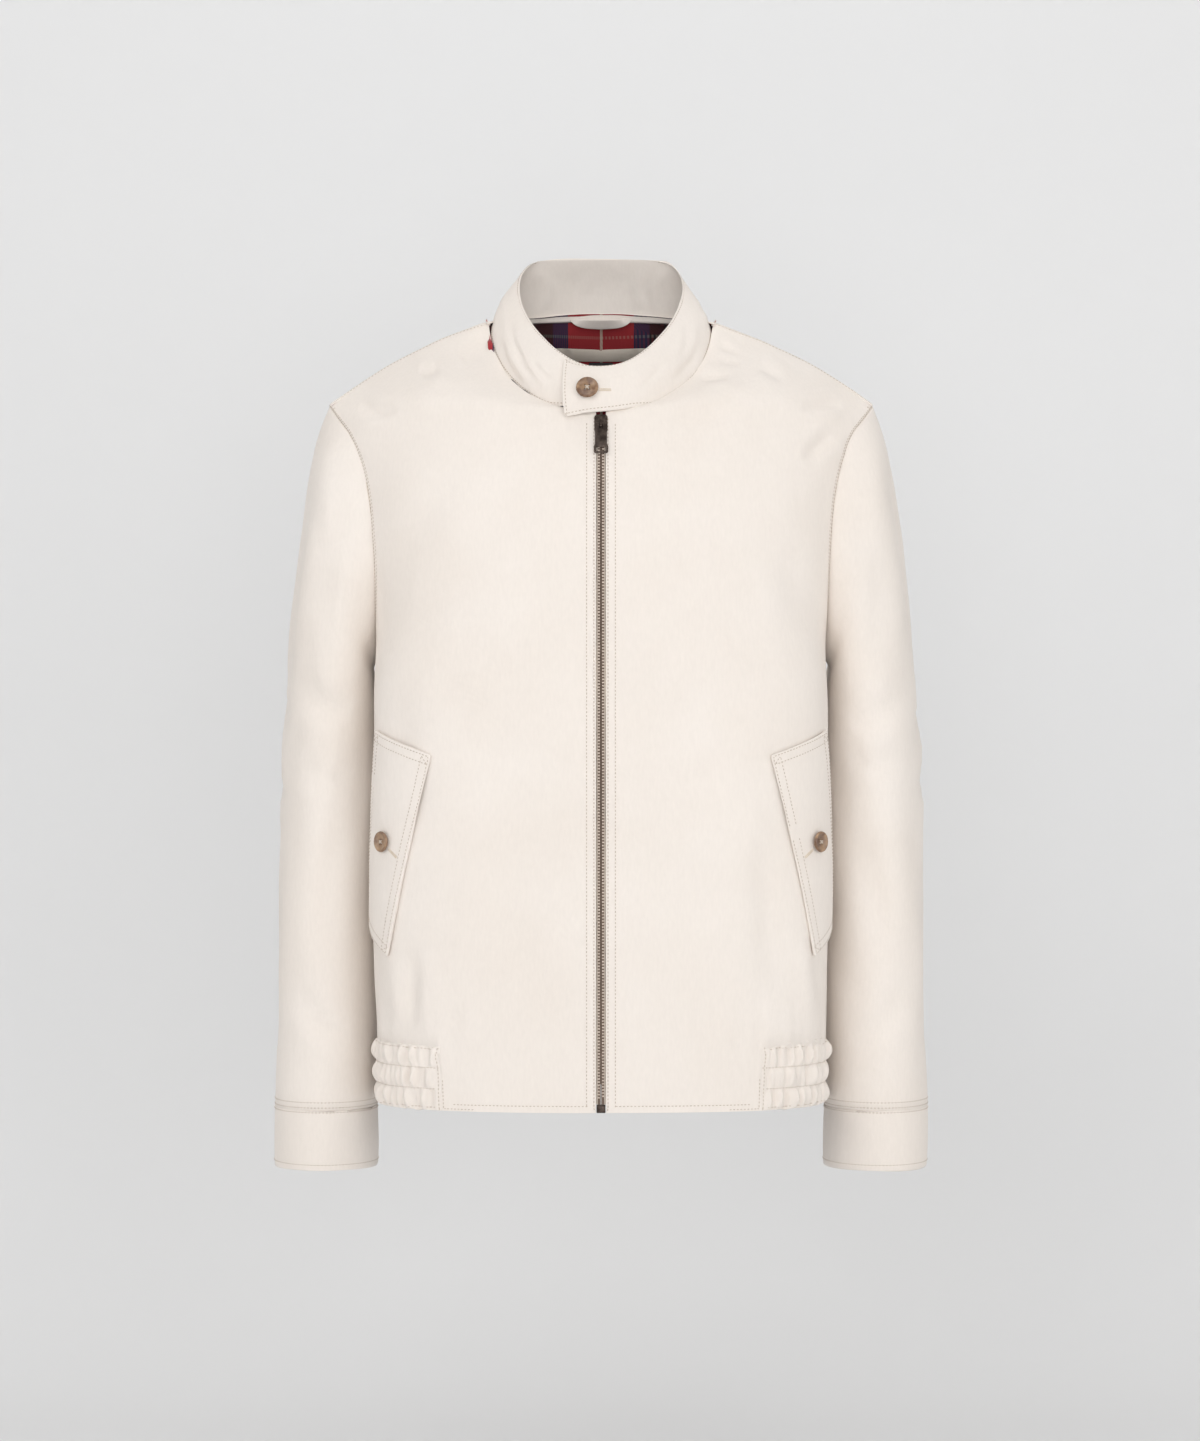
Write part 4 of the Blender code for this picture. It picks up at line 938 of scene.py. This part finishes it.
for side in ("left", "right"):
    node = "hem_elastic_" + side
    piece = takeSkin(node, "hemElastic" + side.capitalize())
    soften(piece, elasticSettings["levels"])
    points, normals = pointsOf(piece)
    share = channelShare(points)
    count = elasticSettings["channels"]
    puff = np.abs(np.sin(np.pi * count * share)) ** 0.6
    ends = np.abs(angleRound(points))
    ends = np.clip((ends - ends.min()) / 0.05, 0, 1) * np.clip((ends.max() - ends) / 0.05, 0, 1)
    shift = np.zeros(len(points))
    for i, p in enumerate(points):
        along = angleRound(points[i : i + 1])[0] * 0.165
        row = math.floor(share[i] * count * 0.999)
        wave = noise.noise(Vector((along / elasticSettings["ripple"], row * 0.55 + share[i], 7.7)))
        second = noise.noise(Vector((along / 0.0030, row * 2.1, 1.3)))
        shift[i] = (elasticSettings["depth"] * wave + 0.0008 * second) * puff[i]
        shift[i] += elasticSettings["puff"] * (puff[i] - 0.6)
    movePoints(piece, points + normals * (shift * ends)[:, None])
    meetEdge(piece, seams["back"] + seams["front_" + side], 0.003, 0.006)
    points, normals = pointsOf(piece)
    lines = []
    turn = angleRound(points)
    steps = np.linspace(turn.min() + 0.02, turn.max() - 0.02, 90)
    for level in (0.045, 1 / count, 2 / count, 0.955):
        line = []
        for a in steps:
            near = np.abs(turn - a) < 0.02
            pick = np.nonzero(near)[0][np.argmin(np.abs(share[near] - level))]
            line.append(Vector(points[pick]))
        for _ in range(3):
            line = [line[0]] + [(a + b * 2 + c) / 4 for a, b, c in zip(line, line[1:], line[2:])] + [line[-1]]
        lines.append(line)
    for run in rimRuns(piece, lambda p: 0.100 < abs(p.x) < 0.140 and p.y < 0.0):
        lines.append(insetLine(run, 0.0022, 3))
    sewLines(piece.name + "Stitching", lines, piece)
    turnUnder(piece, lambda place: place.z > -0.643, 0.0018)
    thicken(piece, elasticSettings["wall"], cotton, cottonInner)
    keep(piece, "jacket", [node])
print("elastic done")


# Inside the neck

insideSettings = {
    "lining": {"node": "lining", "slot": "tartan_lining", "flat": (0.480, 0.180), "levels": 0, "forward": 0.0},
    "neckLabel": {"node": "label", "slot": "woven_label", "flat": (0.082, 0.0135), "levels": 1, "forward": 0.0004},
    "sizeLabel": {"node": "size_label", "slot": "black_label", "flat": (0.022, 0.018), "levels": 1, "forward": 0.0004},
    "hangingLoop": {"node": "hanging_loop", "slot": "cotton", "flat": (0.062, 0.0100), "levels": 3, "forward": 0.0},
}
shoulder = {"drop": 0.008, "from": 0.066, "over": 0.014}
insideFinish = {"lining": tartan, "neckLabel": labelWeave, "sizeLabel": blackWeave, "hangingLoop": cotton}
for name, choice in insideSettings.items():
    piece = takeWhole(choice["node"], name, 0.8)
    if choice["levels"]:
        soften(piece, choice["levels"])
    points, _ = pointsOf(piece)
    points[:, 2] -= shoulder["drop"] * np.clip((np.abs(points[:, 0]) - shoulder["from"]) / shoulder["over"], 0, 1)
    movePoints(piece, points - np.array([0, choice["forward"], 0]))
    piece.data.materials.append(insideFinish[name])
    smoothShade(piece, 50)
    keep(piece, "jacket", [choice["node"]])
print("inside done")


# Zip

zipSettings = {
    "pitch": 0.0026, "tooth": (0.00090, 0.00085, 0.00062), "centre": 0.00178, "proud": 0.0004,
    "round": 0.00025, "top": -0.0900, "low": -0.6410,
}


def chainLine():
    # the chain's front, as depth at each height
    rows = {}
    for vertex in frame["nodes"]["zip_left"].data.vertices:
        if vertex.co.x < 0.001:
            z = round(vertex.co.z, 5)
            rows[z] = min(rows.get(z, 9), vertex.co.y)
    heights = sorted(rows)
    return heights, [rows[z] for z in heights]


def makeZip():
    heights, depths = chainLine()
    for side, sign in (("left", 1), ("right", -1)):
        bpy.ops.object.select_all(action="DESELECT")
        bpy.ops.mesh.primitive_cube_add(size=1)
        tooth = bpy.context.object
        tooth.scale = [2 * size for size in zipSettings["tooth"]]
        settle(tooth)
        bpy.ops.object.mode_set(mode="EDIT")
        mesh = bmesh.from_edit_mesh(tooth.data)
        for face in mesh.faces:
            face.select = face.normal.y < -0.5
        bmesh.update_edit_mesh(tooth.data)
        bpy.ops.mesh.inset(thickness=zipSettings["round"], depth=0.0)
        bpy.ops.transform.translate(value=(0, -zipSettings["round"], 0))
        bpy.ops.object.mode_set(mode="OBJECT")
        shape = tooth.data
        teeth = bmesh.new()
        z = zipSettings["low"] + (zipSettings["pitch"] / 2 if side == "left" else 0)
        while z < zipSettings["top"]:
            y = float(np.interp(z, heights, depths)) - zipSettings["proud"]
            start = len(teeth.verts)
            teeth.from_mesh(shape)
            teeth.verts.ensure_lookup_table()
            for vertex in teeth.verts[start:]:
                vertex.co.x += sign * zipSettings["centre"]
                vertex.co.y += y
                vertex.co.z += z
            z += zipSettings["pitch"]
        bpy.data.objects.remove(tooth)
        row = meshPiece("zipTeeth" + side.capitalize(), teeth)
        row.data.materials.append(toothMetal)
        smoothShade(row, 30)
        keep(row, "jacket")
        tape = frame["nodes"]["zip_" + side]
        tape.data.materials.clear()
        tape.data.materials.append(zipTape)


makeZip()


def hardwareCopy(node, name, finish, body, edge):
    piece = takeWhole(node, name, 0.0)
    bevel = piece.modifiers.new("edges", "BEVEL")
    bevel.width = edge
    bevel.segments = 2
    bevel.limit_method = "ANGLE"
    bevel.angle_limit = math.radians(45)
    applyModifiers(piece)
    piece.data.materials.append(finish)
    smoothShade(piece, 38)
    keep(piece, body, [node])
    return piece


hardwareCopy("zip_box", "zipBox", darkBrass, "jacket", 0.0005)
hardwareCopy("zip_slider", "zipSlider", darkBrass, "jacket", 0.0002)
hardwareCopy("zip_pull", "zipPull", darkBrass, "pull_tab", 0.0003)
print("zip done")


# Buttons and their thread

buttonSettings = {"edge": 0.00025, "ring": 0.0024, "strand": 0.00045, "rise": 0.0004}


def outOf(node):
    # the direction a button faces, from its widest faces
    total = Vector()
    for face in frame["nodes"][node].data.polygons:
        if face.normal.y < -0.2:
            total += face.normal * face.area
    return total.normalized()


for node, name in (
    ("collar_button", "collarButton"), ("pocket_button_left", "pocketButtonLeft"),
    ("pocket_button_right", "pocketButtonRight"),
):
    button = hardwareCopy(node, name, horn, "jacket", buttonSettings["edge"])
    low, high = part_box(node)
    middle = (Vector(low) + Vector(high)) / 2
    out = outOf(node)
    turn = out.to_track_quat("Z", "Y").to_matrix()
    strands = bmesh.new()
    for start, end in ((45, 225), (135, 315)):
        for shift in (-1, 1):
            a = turn @ Vector((math.cos(math.radians(start)), math.sin(math.radians(start)), 0)) * buttonSettings["ring"]
            b = turn @ Vector((math.cos(math.radians(end)), math.sin(math.radians(end)), 0)) * buttonSettings["ring"]
            aside = (b - a).normalized().cross(out) * shift * buttonSettings["strand"] * 0.5
            lift = out * buttonSettings["rise"]
            addStitch(strands, middle + a + aside + lift, middle + b + aside + lift, out,
                      buttonSettings["strand"], buttonSettings["strand"])
    bmesh.ops.recalc_face_normals(strands, faces=strands.faces)
    thread = meshPiece(name + "Thread", strands)
    thread.data.materials.append(sewingThread)
    smoothShade(thread, 60)
    keep(thread, "jacket")
print("buttons done")


# Buttonholes, worked in thread round a short slit

buttonholes = {
    "collarButtonhole": {"start": (-0.0017, -0.0517), "end": (0.0085, -0.0517), "over": "collarBand"},
    "pocketButtonholeRight": {"start": (-0.1785, -0.4363), "end": (-0.1712, -0.4431), "over": "pocketFlapRight"},
    "pocketButtonholeLeft": {"start": (0.1785, -0.4363), "end": (0.1712, -0.4431), "over": "pocketFlapLeft"},
}
for name, choice in buttonholes.items():
    surface = BVHTree.FromObject(bpy.data.objects[choice["over"]], bpy.context.evaluated_depsgraph_get())
    (startX, startZ), (endX, endZ) = choice["start"], choice["end"]
    bars = bmesh.new()
    count = 15
    along = Vector((endX - startX, 0, endZ - startZ)).normalized()
    for side in (1, -1):
        for i in range(count):
            t = (i + 0.5) / count
            seat = Vector((startX + (endX - startX) * t, 0, startZ + (endZ - startZ) * t))
            place, out, _, _ = surface.ray_cast(Vector((seat.x, -0.4, seat.z)), Vector((0, 1, 0)))
            if place is None:
                continue
            across = out.cross(along).normalized() * side
            addStitch(bars, place + across * 0.00012, place + across * 0.00125, out, 0.00036, 0.00034)
    bmesh.ops.recalc_face_normals(bars, faces=bars.faces)
    worked = meshPiece(name, bars)
    worked.data.materials.append(buttonholeThread)
    smoothShade(worked, 60)
    keep(worked, "jacket")
print("buttonholes done")


# Floor, light and camera

studio = {
    "floor": -1.02, "wall": 1.1, "reach": 9.0, "bend": 0.7, "grey": (0.805, 0.805, 0.805),
    "distance": 3.056, "eye": -0.328, "lens": 88.19,
    "world": (1.0, 0.99, 0.975), "worldStrength": 2.00,
}


def makeBackdrop():
    bpy.ops.object.select_all(action="DESELECT")
    middle = (0, studio["wall"] - studio["reach"], studio["floor"])
    bpy.ops.mesh.primitive_plane_add(size=2 * studio["reach"], location=middle)
    backdrop = bpy.context.object
    backdrop.name = "studioFloor"
    bpy.ops.object.mode_set(mode="EDIT")
    mesh = bmesh.from_edit_mesh(backdrop.data)
    for edge in mesh.edges:
        edge.select = all(vertex.co.y > 0 for vertex in edge.verts)
    bmesh.update_edit_mesh(backdrop.data)
    bpy.ops.mesh.extrude_region_move(TRANSFORM_OT_translate={"value": (0, 0, 6)})
    bpy.ops.object.mode_set(mode="OBJECT")
    settle(backdrop)
    bend = backdrop.modifiers.new("bend", "BEVEL")
    bend.width = studio["bend"]
    bend.segments = 24
    applyModifiers(backdrop)
    smoothShade(backdrop, 60)
    material, tree, shader = newMaterial("studioPaper", 0.95)
    place = addNode(tree, "ShaderNodeTexCoord").outputs["Object"]
    grey = studio["grey"]
    colour = mottle(tree, place, 0.8, 2, 0.3, 0.7, tuple(0.985 * value for value in grey), grey)
    tree.links.new(colour, shader.inputs["Base Color"])
    backdrop.data.materials.append(material)


lights = {
    "keyLight": {"place": (-1.6, -3.0, 0.9), "size": 2.4, "power": 34},
    "fillLight": {"place": (1.7, -3.0, 0.45), "size": 2.6, "power": 34},
    "frontLight": {"place": (0.0, -3.3, -0.25), "size": 1.2, "power": 22},
    "leftLight": {"place": (-2.6, -0.7, -0.2), "size": 1.8, "power": 13},
    "rightLight": {"place": (2.6, -0.7, -0.2), "size": 1.8, "power": 13},
    "wallLight": {"place": (0.0, -0.2, 2.3), "size": 3.0, "power": 28, "aim": (0, 1.1, -0.8)},
}


def makeLights():
    for name, choice in lights.items():
        data = bpy.data.lights.new(name, "AREA")
        data.energy = choice["power"]
        data.shape = "DISK"
        data.size = choice["size"]
        lamp = bpy.data.objects.new(name, data)
        bpy.context.scene.collection.objects.link(lamp)
        lamp.location = choice["place"]
        aim = Vector(choice.get("aim", (0, 0, -0.32))) - lamp.location
        lamp.rotation_euler = aim.to_track_quat("-Z", "Y").to_euler()
    world = bpy.data.worlds.new("softRoom")
    world.use_nodes = True
    world.node_tree.nodes["Background"].inputs["Color"].default_value = (*studio["world"], 1)
    world.node_tree.nodes["Background"].inputs["Strength"].default_value = studio["worldStrength"]
    bpy.context.scene.world = world


def makeCamera():
    data = bpy.data.cameras.new("studioCamera")
    data.lens = studio["lens"]
    data.clip_end = 60
    camera = bpy.data.objects.new("studioCamera", data)
    bpy.context.scene.collection.objects.link(camera)
    camera.location = (-0.0008, -studio["distance"], studio["eye"])
    camera.rotation_euler = (math.pi / 2, 0, 0)
    bpy.context.scene.camera = camera


makeBackdrop()
makeLights()
makeCamera()
bpy.context.scene.view_settings.view_transform = "Standard"
print("studio done")
